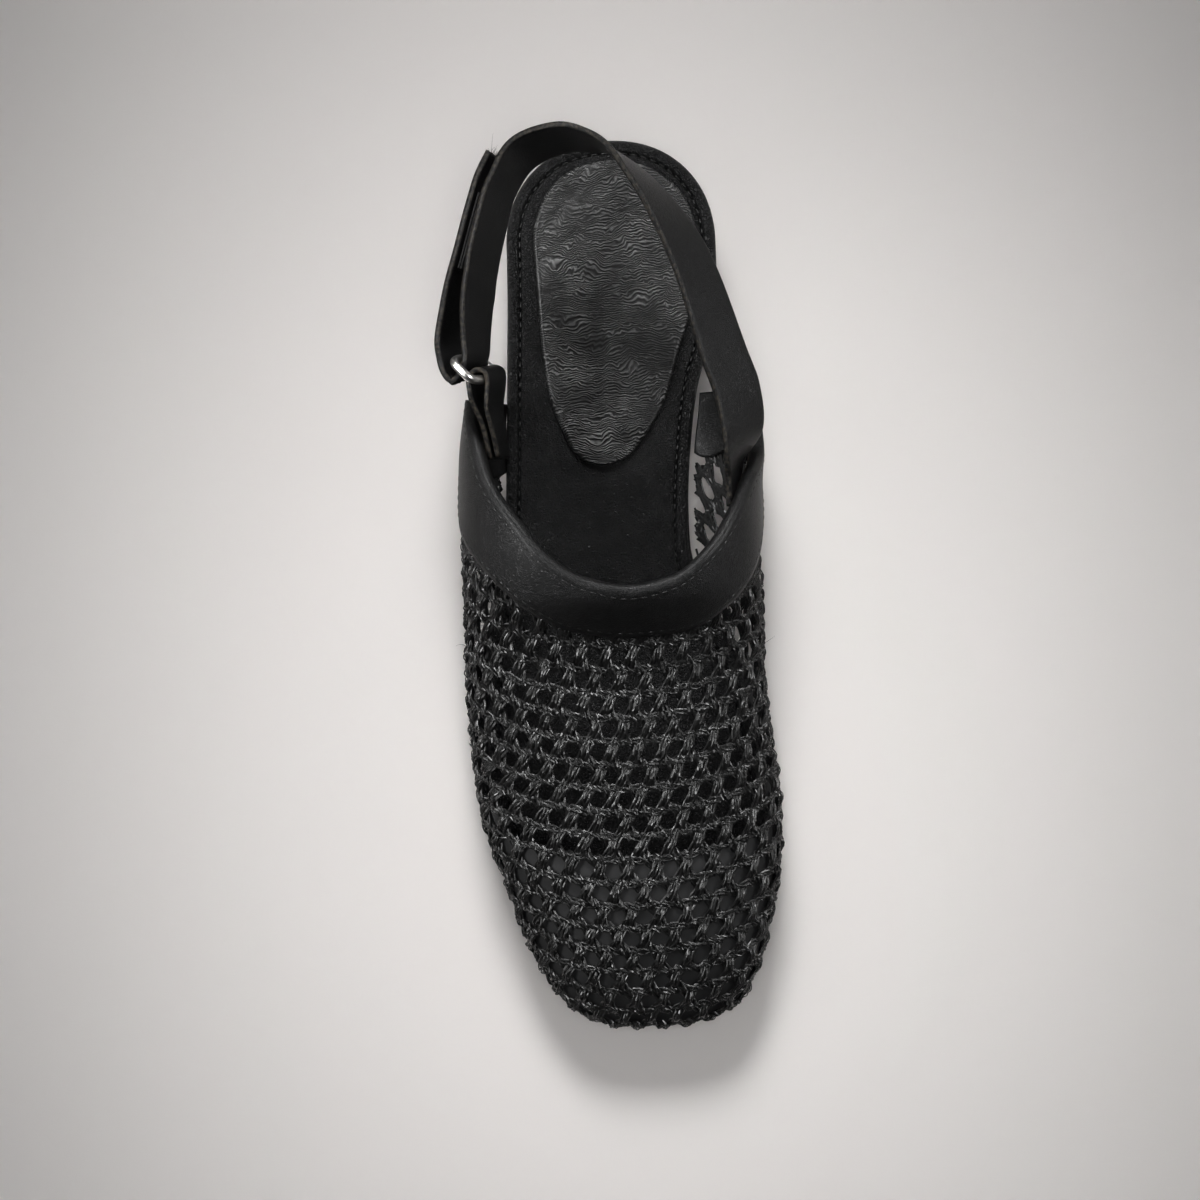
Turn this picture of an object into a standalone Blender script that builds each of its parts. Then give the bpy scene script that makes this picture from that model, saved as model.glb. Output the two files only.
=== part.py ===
"""Slingback flat, right shoe, in metres.

+Z is up, the toe points to -Y, the medial side is +X and the lateral side is -X. The origin is the
middle of the heel's flat tread. Tables hold shares of the named sizes that they follow.
"""
import math

import bmesh
import bpy
import numpy as np
from mathutils import Vector
from mathutils.geometry import delaunay_2d_cdt

MM = 0.001

# Overall sizes of the shoe
LENGTH = 250.7 * MM
HEEL_BACK = 25.0 * MM
UPPER_WIDTH = 85.0 * MM
INSTEP_HEIGHT = 68.0 * MM
HEEL_WIDTH = 59.0 * MM
TOE_REACH = 44.4 * MM
TOE_CENTRE = 0.822
HEEL_CENTRE = 0.118
HEEL_ROUNDNESS = 0.92
CLEARANCE = 0.35 * MM

# Unit sole
HEEL_HEIGHT = 14.5 * MM
BREAST_LENGTH = 49.0 * MM
SOLE_TAPER = 1.2 * MM

# Insole board, sock and heel pad
BOARD_THICKNESS = 4.7 * MM
RIM_WIDTH = 3.7 * MM
RECESS_DEPTH = 1.6 * MM
SOCK_THICKNESS = 1.0 * MM
PAD_THICKNESS = 1.9 * MM
PAD_MARGIN = 2.2 * MM
PAD_ROUNDING = 0.9 * MM

# Upper
VAMP_WALL = 1.6 * MM
TOE_TUCK = 2.5 * MM
SIDE_TUCK = 3.6 * MM
TOE_DROP = 13.0 * MM
TOE_LOWERING = 0.26
SECTION_STEPS = 56
NET_PITCH = 11.4 * MM
NET_HOLE = 3.5 * MM
NET_RELIEF = 0.65 * MM
NET_DIMPLE = 0.9 * MM
NET_BOW = 3.2
NET_BORDER = 1.3 * MM
COLLAR_THICKNESS = 1.2 * MM

# Sling strap, its tapes, ring and tab
STRAP_WIDTH = 16.0 * MM
STRAP_THICKNESS = 1.7 * MM
STRAP_HEIGHT = 65.7 * MM
STRAP_STEPS = 3
TAPE_WIDTH = 13.0 * MM
TAPE_THICKNESS = 0.45 * MM
TAPE_START = 0.885
TAPE_LENGTH = 20.0 * MM
RING_WIRE = 2.4 * MM
RING_WIDTH = 8.3 * MM
RING_HEIGHT = 19.8 * MM
RING_SQUARENESS = 3.8
RING_POINTS = 28
RING_CENTRE = (-0.663, 0.2569, 0.804)
RING_TURN = -44.0
RING_LEAN = (-0.38, -0.10)
TAB_WIDTH = 13.0 * MM
TAB_THICKNESS = 1.4 * MM

# Cross-sections of the upper, from the wings to the toe's centre. along: share of LENGTH from the heel's
# back; lateral, medial: widest half width, shares of UPPER_WIDTH; widest, ridge: heights of the widest
# point and of the ridge, shares of INSTEP_HEIGHT.
SECTION_COLUMNS = ("along", "lateral", "medial", "widest", "ridge")
SECTIONS = (
    (0.287, 0.475, 0.447, 0.588, 1.000),
    (0.347, 0.506, 0.442, 0.544, 0.997),
    (0.399, 0.520, 0.428, 0.500, 0.985),
    (0.459, 0.539, 0.431, 0.456, 0.962),
    (0.507, 0.542, 0.436, 0.420, 0.912),
    (0.554, 0.546, 0.437, 0.390, 0.772),
    (0.598, 0.551, 0.432, 0.368, 0.706),
    (0.678, 0.546, 0.448, 0.331, 0.644),
    (0.738, 0.531, 0.467, 0.309, 0.603),
    (0.786, 0.500, 0.465, 0.297, 0.578),
    (0.822, 0.462, 0.454, 0.287, 0.559),
)

# Outline of the toe round its centre. turn: degrees from straight ahead, lateral side negative;
# reach: share of TOE_REACH.
TOE_COLUMNS = ("turn", "reach")
TOE_OUTLINE = (
    (-90, 0.885), (-75, 0.851), (-60, 0.869), (-45, 0.919), (-30, 0.991), (-15, 1.011), (0, 1.000),
    (15, 1.027), (30, 1.041), (45, 0.973), (60, 0.892), (75, 0.858), (90, 0.869),
)

# Outline of the insole board behind the toe. lateral, medial: half widths, shares of HEEL_WIDTH;
# welt: how far the outsole stands out past the board, share of VAMP_WALL.
BOARD_COLUMNS = ("along", "lateral", "medial", "welt")
BOARD_OUTLINE = (
    (0.118, 0.500, 0.500, -0.55),
    (0.175, 0.508, 0.495, -0.55),
    (0.230, 0.522, 0.447, -0.50),
    (0.287, 0.536, 0.373, -0.45),
    (0.347, 0.553, 0.332, -0.30),
    (0.399, 0.566, 0.310, 0.00),
    (0.459, 0.597, 0.298, 0.40),
    (0.519, 0.644, 0.356, 1.00),
    (0.558, 0.678, 0.441, 1.35),
    (0.598, 0.700, 0.515, 1.50),
    (0.678, 0.715, 0.580, 1.50),
    (0.738, 0.695, 0.610, 1.50),
    (0.786, 0.654, 0.610, 1.50),
    (0.822, 0.605, 0.593, 1.50),
)

# Side profile of the outsole. bottom, top: shares of HEEL_HEIGHT. The breast is added in sole_profile.
SOLE_COLUMNS = ("along", "bottom", "top")
SOLE_PROFILE = (
    (0.210, 0.520, 0.980),
    (0.300, 0.470, 0.870),
    (0.420, 0.200, 0.630),
    (0.520, 0.015, 0.400),
    (0.550, 0.000, 0.350),
    (0.735, 0.000, 0.330),
    (0.860, 0.110, 0.425),
    (1.000, 0.415, 0.720),
)

# Edges of the collar on the unrolled upper. around: distance round from the ridge, share of
# UPPER_WIDTH, lateral side negative; along: share of LENGTH from the heel's back.
COLLAR_COLUMNS = ("top_around", "top_along", "low_around", "low_along")
COLLAR_EDGES = (
    (-0.635, 0.289, -0.825, 0.289),
    (-0.535, 0.335, -0.755, 0.351),
    (-0.468, 0.382, -0.695, 0.408),
    (-0.360, 0.427, -0.490, 0.476),
    (-0.270, 0.464, -0.325, 0.521),
    (-0.145, 0.493, -0.158, 0.547),
    (0.000, 0.504, 0.000, 0.555),
    (0.130, 0.497, 0.160, 0.551),
    (0.270, 0.465, 0.312, 0.527),
    (0.389, 0.422, 0.500, 0.478),
    (0.490, 0.388, 0.660, 0.410),
    (0.650, 0.357, 0.775, 0.357),
    (0.745, 0.289, 0.850, 0.289),
)

# Heel pad. left, right: its edges, shares of HEEL_WIDTH from the middle line, medial side positive.
PAD_COLUMNS = ("along", "left", "right")
PAD_OUTLINE = (
    (0.118, -0.372, 0.410),
    (0.175, -0.365, 0.385),
    (0.243, -0.352, 0.292),
    (0.291, -0.325, 0.222),
    (0.327, -0.271, 0.135),
    (0.350, -0.200, 0.030),
    (0.361, -0.130, -0.060),
)

# Middle line of the sling strap from the medial wing round the heel and through the ring. x, y: shares
# of HEEL_WIDTH and LENGTH (y from the heel's back); z: share of STRAP_HEIGHT; lean_x, lean_y: how far
# its upper edge leans for each unit of height.
STRAP_COLUMNS = ("x", "y", "z", "lean_x", "lean_y")
STRAP_PATH = (
    (0.512, 0.419, 0.655, -0.26, -0.06),
    (0.512, 0.388, 0.702, -0.24, -0.10),
    (0.520, 0.370, 0.748, -0.36, -0.16),
    (0.560, 0.341, 0.816, -0.92, -0.25),
    (0.542, 0.297, 0.860, -1.26, -0.36),
    (0.485, 0.254, 0.898, -1.18, -0.35),
    (0.390, 0.176, 0.936, -0.93, -0.33),
    (0.305, 0.126, 0.951, -0.72, -0.27),
    (0.170, 0.073, 0.974, -0.35, -0.20),
    (0.020, 0.033, 0.990, -0.08, -0.02),
    (-0.090, 0.021, 0.998, -0.03, 0.22),
    (-0.215, 0.017, 1.000, -0.17, 0.40),
    (-0.388, 0.030, 0.974, -0.42, 0.40),
    (-0.498, 0.066, 0.951, -0.48, 0.21),
    (-0.556, 0.106, 0.925, -0.53, 0.10),
    (-0.602, 0.144, 0.895, -0.58, 0.00),
    (-0.634, 0.182, 0.857, -0.57, -0.08),
    (-0.650, 0.218, 0.822, -0.48, -0.10),
    (-0.656, 0.244, 0.808, -0.40, -0.10),
    (-0.678, 0.2552, 0.806, -0.38, -0.10),
    (-0.704, 0.2655, 0.806, -0.38, -0.10),
    (-0.734, 0.2665, 0.806, -0.38, -0.10),
    (-0.760, 0.2575, 0.806, -0.38, -0.10),
    (-0.772, 0.2440, 0.806, -0.40, -0.10),
)

# The layer folded back beyond the ring. along: place beside the first layer; gap: distance between the
# middle lines of the two layers, share of STRAP_THICKNESS.
RETURN_COLUMNS = ("along", "gap")
RETURN_LAYER = (
    (0.226, 4.70),
    (0.200, 3.95),
    (0.170, 3.20),
    (0.140, 2.50),
    (0.100, 2.25),
    (0.066, 2.22),
    (0.045, 2.25),
)

# Middle line of the ring's tab, from its outer end round the ring's bar to its inner end. Same columns.
TAB_PATH = (
    (-0.592, 0.356, 0.670, -0.22, 0.00),
    (-0.614, 0.319, 0.730, -0.26, -0.03),
    (-0.647, 0.2932, 0.776, -0.36, -0.06),
    (-0.654, 0.2792, 0.792, -0.38, -0.08),
    (-0.656, 0.2684, 0.795, -0.38, -0.10),
    (-0.644, 0.2604, 0.795, -0.38, -0.10),
    (-0.613, 0.2570, 0.795, -0.38, -0.10),
    (-0.580, 0.2602, 0.795, -0.38, -0.10),
    (-0.570, 0.2684, 0.794, -0.38, -0.10),
    (-0.575, 0.2800, 0.785, -0.36, -0.08),
    (-0.586, 0.3000, 0.765, -0.33, -0.05),
    (-0.573, 0.3230, 0.730, -0.26, -0.03),
    (-0.556, 0.3540, 0.680, -0.22, 0.00),
)


def clear_scene():
    """Start from an empty file."""
    for old in list(bpy.data.objects):
        bpy.data.objects.remove(old, do_unlink=True)


def column(table, names, name):
    """One named column of a table as an array."""
    return np.array([row[names.index(name)] for row in table], dtype=float)


def smooth(x, xs, ys):
    """Monotone cubic curve through the rows: it keeps flats flat and never overshoots."""
    x = np.clip(np.asarray(x, dtype=float), xs[0], xs[-1])
    step = np.diff(xs)
    rise = np.diff(ys) / step
    slope = np.zeros(len(xs))
    same = rise[:-1] * rise[1:] > 0.0
    w1 = 2.0 * step[1:] + step[:-1]
    w2 = step[1:] + 2.0 * step[:-1]
    with np.errstate(divide="ignore", invalid="ignore"):
        mean = (w1 + w2) / (w1 / rise[:-1] + w2 / rise[1:])
    slope[1:-1] = np.where(same, mean, 0.0)
    slope[0] = rise[0]
    slope[-1] = rise[-1]
    i = np.clip(np.searchsorted(xs, x, side="right") - 1, 0, len(step) - 1)
    t = (x - xs[i]) / step[i]
    h = step[i]
    a = ys[i] * (1.0 + 2.0 * t) * (1.0 - t) ** 2 + slope[i] * h * t * (1.0 - t) ** 2
    b = ys[i + 1] * t * t * (3.0 - 2.0 * t) + slope[i + 1] * h * t * t * (t - 1.0)
    return a + b


def y_of(along):
    """Place on the shoe's long axis of a share of the length from the heel's back."""
    return HEEL_BACK - np.asarray(along) * LENGTH


def along_of(y):
    """The share of the length at a place on the long axis."""
    return (HEEL_BACK - np.asarray(y)) / LENGTH


def sole_profile(y, side):
    """Height of the outsole's underside ("bottom") or top ("top") at y; the heel block is flat below."""
    along = along_of(y)
    rows = column(SOLE_PROFILE, SOLE_COLUMNS, "along")
    values = column(SOLE_PROFILE, SOLE_COLUMNS, side)
    if side == "top":
        rows = np.concatenate(([0.0], rows))
        values = np.concatenate(([1.0], values))
        return HEEL_HEIGHT * smooth(along, rows, values)
    breast = (HEEL_BACK + BREAST_LENGTH / 2.0) / LENGTH
    arch = HEEL_HEIGHT * smooth(along, rows, values)
    return np.where(along <= breast + 1e-6, 0.0, arch)


def board_z(y, level):
    """Height of the insole board at y; level 0 is its underside and 1 the top of its rim."""
    return sole_profile(y, "top") + CLEARANCE + level * BOARD_THICKNESS


def toe_reach(turn):
    """Reach of the upper's outline from the toe's centre, turn in radians from straight ahead."""
    rows = np.radians(column(TOE_OUTLINE, TOE_COLUMNS, "turn"))
    return TOE_REACH * smooth(turn, rows, column(TOE_OUTLINE, TOE_COLUMNS, "reach"))


def toe_tuck(turn):
    """How far the insole board stays inside the upper's outline round the toe."""
    return TOE_TUCK + (SIDE_TUCK - TOE_TUCK) * np.sin(turn) ** 2


def board_half(y, side):
    """Half width of the board at y behind the toe's centre, on "lateral" or "medial"."""
    rows = column(BOARD_OUTLINE, BOARD_COLUMNS, "along")
    return HEEL_WIDTH * smooth(along_of(y), rows, column(BOARD_OUTLINE, BOARD_COLUMNS, side))


def upper_parameters(a, b):
    """Sizes of the cross-section that passes through the unrolled point (a, b).

    a runs round the upper from its ridge, b runs back from the toe's centre. Behind the centre each
    section is a plane across the shoe; in front of it the sections fan out round the centre.
    """
    y_toe = y_of(TOE_CENTRE)
    behind = b >= 0.0
    y = np.where(behind, y_toe + b, y_toe)
    along = along_of(y)
    rows = column(SECTIONS, SECTION_COLUMNS, "along")
    lateral = a < 0.0
    half = np.where(lateral, smooth(along, rows, column(SECTIONS, SECTION_COLUMNS, "lateral")),
                    smooth(along, rows, column(SECTIONS, SECTION_COLUMNS, "medial"))) * UPPER_WIDTH
    board = np.where(lateral, board_half(y, "lateral"), board_half(y, "medial"))
    widest = INSTEP_HEIGHT * smooth(along, rows, column(SECTIONS, SECTION_COLUMNS, "widest"))
    ridge = INSTEP_HEIGHT * smooth(along, rows, column(SECTIONS, SECTION_COLUMNS, "ridge"))
    turn = np.where(behind, np.where(lateral, -0.5, 0.5) * math.pi, np.arctan2(a, np.maximum(-b, 1e-9)))
    ahead = np.where(behind, 0.0, np.cos(turn))
    half = np.where(behind, half, toe_reach(turn))
    board = np.where(behind, board, half - toe_tuck(turn))
    widest = widest * (1.0 - TOE_LOWERING * ahead)
    foot = board + CLEARANCE + VAMP_WALL
    foot = np.minimum(foot, 0.985 * half)
    foot_y = np.where(behind, y, y_toe - foot * ahead)
    floor = sole_profile(foot_y, "top") + CLEARANCE
    power = 2.2 + 1.3 * ahead ** 2
    drop = TOE_DROP * ahead
    return y, turn, ahead, half, foot, widest, floor, ridge, power, drop


def section_curve(half, foot, widest, floor, ridge, power, drop):
    """Points of each cross-section from the ridge down to the feather edge, one row each.

    Above the widest point it is a superellipse whose crown falls away towards the toe, below it an
    ellipse that tucks in to the insole.
    """
    upper = np.linspace(0.0, 0.5 * math.pi, SECTION_STEPS)[None, :]
    power = power[:, None]
    share = np.sin(upper) ** (2.0 / power)
    crown = ridge[:, None] - drop[:, None] * (0.5 * share + 0.5 * share ** 2)
    lift = np.maximum(np.cos(upper), 0.0) ** (2.0 / power)
    r_up = half[:, None] * share
    z_up = widest[:, None] + (crown - widest[:, None]) * lift
    end = math.pi - np.arcsin(np.clip(foot / half, 0.0, 1.0))
    lower = 0.5 * math.pi + (end[:, None] - 0.5 * math.pi) * np.linspace(0.0, 1.0, SECTION_STEPS)[None, 1:]
    depth = (widest - floor) / np.maximum(-np.cos(end), 1e-6)
    r_low = half[:, None] * np.sin(lower)
    z_low = widest[:, None] + depth[:, None] * np.cos(lower)
    r = np.concatenate((r_up, r_low), axis=1)
    z = np.concatenate((z_up, z_low), axis=1)
    length = np.cumsum(np.hypot(np.diff(r, axis=1), np.diff(z, axis=1)), axis=1)
    length = np.concatenate((np.zeros((len(r), 1)), length), axis=1)
    return r, z, length


def upper_point(a, b):
    """Point of the upper's outer surface at the unrolled place (a, b), as three arrays."""
    a = np.asarray(a, dtype=float)
    b = np.asarray(b, dtype=float)
    y, turn, ahead, half, foot, widest, floor, ridge, power, drop = upper_parameters(a, b)
    r, z, length = section_curve(half, foot, widest, floor, ridge, power, drop)
    distance = np.where(b >= 0.0, np.abs(a), np.hypot(a, b))
    distance = np.minimum(distance, length[:, -1])
    i = np.clip((length < distance[:, None]).sum(axis=1) - 1, 0, length.shape[1] - 2)
    row = np.arange(len(a))
    t = (distance - length[row, i]) / np.maximum(length[row, i + 1] - length[row, i], 1e-12)
    reach = r[row, i] + t * (r[row, i + 1] - r[row, i])
    height = z[row, i] + t * (z[row, i + 1] - z[row, i])
    return np.stack((reach * np.sin(turn), y - reach * ahead, height), axis=1)


def upper_surface(a, b, proud):
    """The upper's surface moved out along its normal by proud."""
    a = np.asarray(a, dtype=float)
    b = np.asarray(b, dtype=float)
    small = 0.4 * MM
    point = upper_point(a, b)
    round_way = upper_point(a + small, b) - upper_point(a - small, b)
    back_way = upper_point(a, b + small) - upper_point(a, b - small)
    normal = np.cross(round_way, back_way)
    normal /= np.maximum(np.linalg.norm(normal, axis=1, keepdims=True), 1e-12)
    return point + normal * np.asarray(proud)[:, None]


def feather_distance(a, b):
    """Unrolled distance from the ridge to the feather edge in the direction of (a, b)."""
    _, _, _, half, foot, widest, floor, ridge, power, drop = upper_parameters(a, b)
    return section_curve(half, foot, widest, floor, ridge, power, drop)[2][:, -1]


def collar_edge(name, count):
    """One edge of the collar, "top" or "low", on the unrolled upper as a smooth line of count points."""
    around = column(COLLAR_EDGES, COLLAR_COLUMNS, name + "_around") * UPPER_WIDTH
    back = y_of(column(COLLAR_EDGES, COLLAR_COLUMNS, name + "_along")) - y_of(TOE_CENTRE)
    rows = np.linspace(0.0, 1.0, len(around))
    t = np.linspace(0.0, 1.0, count)
    return np.stack((smooth(t, rows, around), smooth(t, rows, back)), axis=1)


def material(name, colour, roughness, metallic=0.0):
    """A Principled BSDF with one colour."""
    made = bpy.data.materials.new(name)
    made.use_nodes = True
    shader = made.node_tree.nodes["Principled BSDF"]
    shader.inputs["Base Color"].default_value = (*colour, 1.0)
    shader.inputs["Roughness"].default_value = roughness
    shader.inputs["Metallic"].default_value = metallic
    return made


def add_object(name, points, faces, finish):
    """Put a mesh into the shoe's collection with its faces turned outwards."""
    mesh = bpy.data.meshes.new(name)
    mesh.from_pydata([tuple(p) for p in points], [], faces)
    mesh.validate()
    made = bpy.data.objects.new(name, mesh)
    mesh.materials.append(finish)
    SHOE.objects.link(made)
    return made


def turn_outwards(made):
    """Make the faces of a closed mesh point out of it."""
    work = bmesh.new()
    work.from_mesh(made.data)
    bmesh.ops.recalc_face_normals(work, faces=work.faces)
    work.to_mesh(made.data)
    work.free()


def thicken(made, thickness, offset):
    """Give an open surface its wall."""
    wall = made.modifiers.new("wall", "SOLIDIFY")
    wall.thickness = thickness
    wall.offset = offset
    wall.use_quality_normals = True
    return wall


def board_loop(extra):
    """The board's outline as a closed loop of (x, y), moved out by extra(y), and its stations in y.

    The first half runs from the toe to the heel on the lateral side, the second half back again on the
    medial side, with matching points.
    """
    y_toe = y_of(TOE_CENTRE)
    halves = []
    for sign, side in ((-1.0, "lateral"), (1.0, "medial")):
        turn = np.radians(np.array((4.0, 11.0, 18.0, 25.0, 32.0, 39.0, 47.0, 56.0, 66.0, 78.0))) * sign
        reach = toe_reach(turn) - toe_tuck(turn)
        toe = np.stack((reach * np.sin(turn), y_toe - reach * np.cos(turn)), axis=1)
        breast = HEEL_BACK + BREAST_LENGTH / 2.0
        stations = np.array((
            0.822, 0.795, 0.765, 0.735, 0.700, 0.665, 0.630, 0.598, 0.575, 0.550, 0.525, 0.495, 0.459, 0.425,
            0.390, 0.350, 0.310, 0.270, 0.235, (breast + 3.0 * MM) / LENGTH, breast / LENGTH, 0.160,
        ))
        y = y_of(stations)
        straight = np.stack((sign * board_half(y, side), y), axis=1)
        centre = y_of(HEEL_CENTRE)
        swing = np.radians(np.array((2.0, 14.0, 26.0, 38.0, 49.0, 60.0, 70.0, 79.0, 86.0)))
        half = board_half(centre, side)
        heel_x = sign * half * np.cos(swing) ** HEEL_ROUNDNESS
        heel_y = centre + (HEEL_BACK - centre) * np.sin(swing) ** HEEL_ROUNDNESS
        heel = np.stack((heel_x, heel_y), axis=1)
        halves.append(np.concatenate((toe, straight, heel)))
    loop = np.concatenate((halves[0], halves[1][::-1]))
    return offset_loop(loop, extra(loop[:, 1])), loop[:, 1]


def offset_loop(loop, distance):
    """Move each point of a closed loop outwards along the loop's normal."""
    way = np.roll(loop, -1, axis=0) - np.roll(loop, 1, axis=0)
    way /= np.linalg.norm(way, axis=1, keepdims=True)
    normal = np.stack((way[:, 1], -way[:, 0]), axis=1)
    centre = loop.mean(axis=0)
    if np.sum((loop - centre) * normal) < 0.0:
        normal = -normal
    return loop + normal * np.asarray(distance)[..., None]


def ring_solid(name, loop, stations, rings, finish):
    """A solid of rings round one loop: each ring is (distance moved out, height as a function of y).

    The first ring is closed by the underside and the last by the top, each laid as a ladder of faces
    between matching points of the two sides.
    """
    count = len(loop)
    points = []
    for distance, height in rings:
        moved = offset_loop(loop, np.full(count, distance))
        points.append(np.column_stack((moved, height(stations))))
    points = np.concatenate(points)
    faces = []
    for level in range(len(rings) - 1):
        for i in range(count):
            j = (i + 1) % count
            low, high = level * count, (level + 1) * count
            faces.append((low + i, low + j, high + j, high + i))
    for level in (0, len(rings) - 1):
        first = level * count
        for i in range(count // 2 - 1):
            faces.append((first + i, first + i + 1, first + count - 2 - i, first + count - 1 - i))
    made = add_object(name, points, faces, finish)
    turn_outwards(made)
    return made


def make_outsole():
    """The unit sole: its top carries the board, its side tapers to the tread."""
    rows = column(BOARD_OUTLINE, BOARD_COLUMNS, "along")
    welt = column(BOARD_OUTLINE, BOARD_COLUMNS, "welt") * VAMP_WALL
    loop, stations = board_loop(lambda y: smooth(along_of(y), rows, welt))
    return ring_solid("outsole", loop, stations, (
        (-SOLE_TAPER, lambda y: sole_profile(y, "bottom")),
        (-0.35 * SOLE_TAPER, lambda y: 0.75 * sole_profile(y, "bottom") + 0.25 * sole_profile(y, "top")),
        (0.0, lambda y: sole_profile(y, "top")),
    ), material("sole rubber", (0.012, 0.012, 0.012), 0.55))


def make_footbed():
    """The wrapped insole board with its rounded rim and the recess of the sock."""
    loop, stations = board_loop(lambda y: 0.0 * y)
    floor = 1.0 - RECESS_DEPTH / BOARD_THICKNESS
    rings = (
        (-0.25 * RIM_WIDTH, 0.00), (0.0, 0.16), (0.0, 0.66), (-0.12 * RIM_WIDTH, 0.88),
        (-0.42 * RIM_WIDTH, 1.00), (-0.88 * RIM_WIDTH, 0.97), (-RIM_WIDTH, floor),
    )
    return ring_solid("footbed", loop, stations, [(d, lambda y, k=k: board_z(y, k)) for d, k in rings],
                      material("smooth leather", (0.030, 0.030, 0.031), 0.48))


def make_sock():
    """The flat sock that fills the recess."""
    loop, stations = board_loop(lambda y: 0.0 * y - RIM_WIDTH - CLEARANCE)
    floor = 1.0 - (RECESS_DEPTH - CLEARANCE) / BOARD_THICKNESS
    top = floor + SOCK_THICKNESS / BOARD_THICKNESS
    rings = ((0.0, floor), (0.0, top))
    return ring_solid("sock", loop, stations, [(d, lambda y, k=k: board_z(y, k)) for d, k in rings],
                      material("sock leather", (0.026, 0.026, 0.027), 0.50))


def make_heel_pad():
    """The tongue-shaped pad on the sock, with a rounded edge."""
    rows = column(PAD_OUTLINE, PAD_COLUMNS, "along")
    stations = np.array((0.3605, 0.355, 0.345, 0.332, 0.315, 0.295, 0.270, 0.243, 0.210, 0.175, 0.145))
    y = y_of(stations)
    centre = y_of(HEEL_CENTRE)
    back = HEEL_BACK - RIM_WIDTH - PAD_MARGIN
    swing = np.radians(np.array((2.0, 16.0, 30.0, 44.0, 57.0, 69.0, 80.0, 87.0)))
    halves = []
    for name in ("left", "right"):
        edge = HEEL_WIDTH * column(PAD_OUTLINE, PAD_COLUMNS, name)
        straight = np.column_stack((smooth(stations, rows, edge), y))
        heel_x = edge[0] * np.cos(swing) ** HEEL_ROUNDNESS
        heel_y = centre + (back - centre) * np.sin(swing) ** HEEL_ROUNDNESS
        halves.append(np.concatenate((straight, np.column_stack((heel_x, heel_y)))))
    loop = np.concatenate((halves[0], halves[1][::-1]))
    sock_top = 1.0 - (RECESS_DEPTH - CLEARANCE - SOCK_THICKNESS) / BOARD_THICKNESS
    seat = sock_top + CLEARANCE / BOARD_THICKNESS
    thick = PAD_THICKNESS / BOARD_THICKNESS
    rings = (
        (0.0, seat), (0.0, seat + 0.35 * thick), (-PAD_ROUNDING, seat + 0.80 * thick),
        (-3.5 * PAD_ROUNDING, seat + thick),
    )
    return ring_solid("heel_pad", loop, loop[:, 1], [(d, lambda y, k=k: board_z(y, k)) for d, k in rings],
                      material("grained leather", (0.020, 0.020, 0.020), 0.60))


def vamp_outline():
    """The vamp's border on the unrolled upper, a closed loop of (a, b)."""
    rear = y_of(SECTIONS[0][0]) - y_of(TOE_CENTRE)
    b = np.linspace(rear, 0.0, 23)
    left = np.stack((-feather_distance(-np.ones_like(b), b), b), axis=1)
    right = np.stack((feather_distance(np.ones_like(b), b), b), axis=1)[::-1]
    turn = np.radians(np.linspace(-90.0, 90.0, 33)[1:-1])
    far = feather_distance(np.sin(turn), -np.cos(turn))
    toe = np.stack((far * np.sin(turn), -far * np.cos(turn)), axis=1)
    throat = collar_edge("top", 41)[::-1]
    return np.concatenate((left, toe, right, throat))


def inside(points, loop, margin):
    """Which points lie inside the loop and at least margin from it."""
    x, y = points[:, 0][:, None], points[:, 1][:, None]
    p, q = loop[None, :, :], np.roll(loop, -1, axis=0)[None, :, :]
    crossing = (p[..., 1] > y) != (q[..., 1] > y)
    with np.errstate(divide="ignore", invalid="ignore"):
        at = p[..., 0] + (y - p[..., 1]) * (q[..., 0] - p[..., 0]) / (q[..., 1] - p[..., 1])
    within = (crossing & (x < at)).sum(axis=1) % 2 == 1
    edge = q - p
    t = (x - p[..., 0]) * edge[..., 0] + (y - p[..., 1]) * edge[..., 1]
    t = np.clip(t / np.maximum((edge ** 2).sum(-1), 1e-18), 0.0, 1.0)
    away = np.hypot(x - p[..., 0] - t * edge[..., 0], y - p[..., 1] - t * edge[..., 1]).min(axis=1)
    return within & (away >= margin)


def lining_line(a):
    """Where the closed toe begins on the unrolled upper, measured back from the toe's centre."""
    return 3.0 * MM + 2.2 * a ** 2


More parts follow.
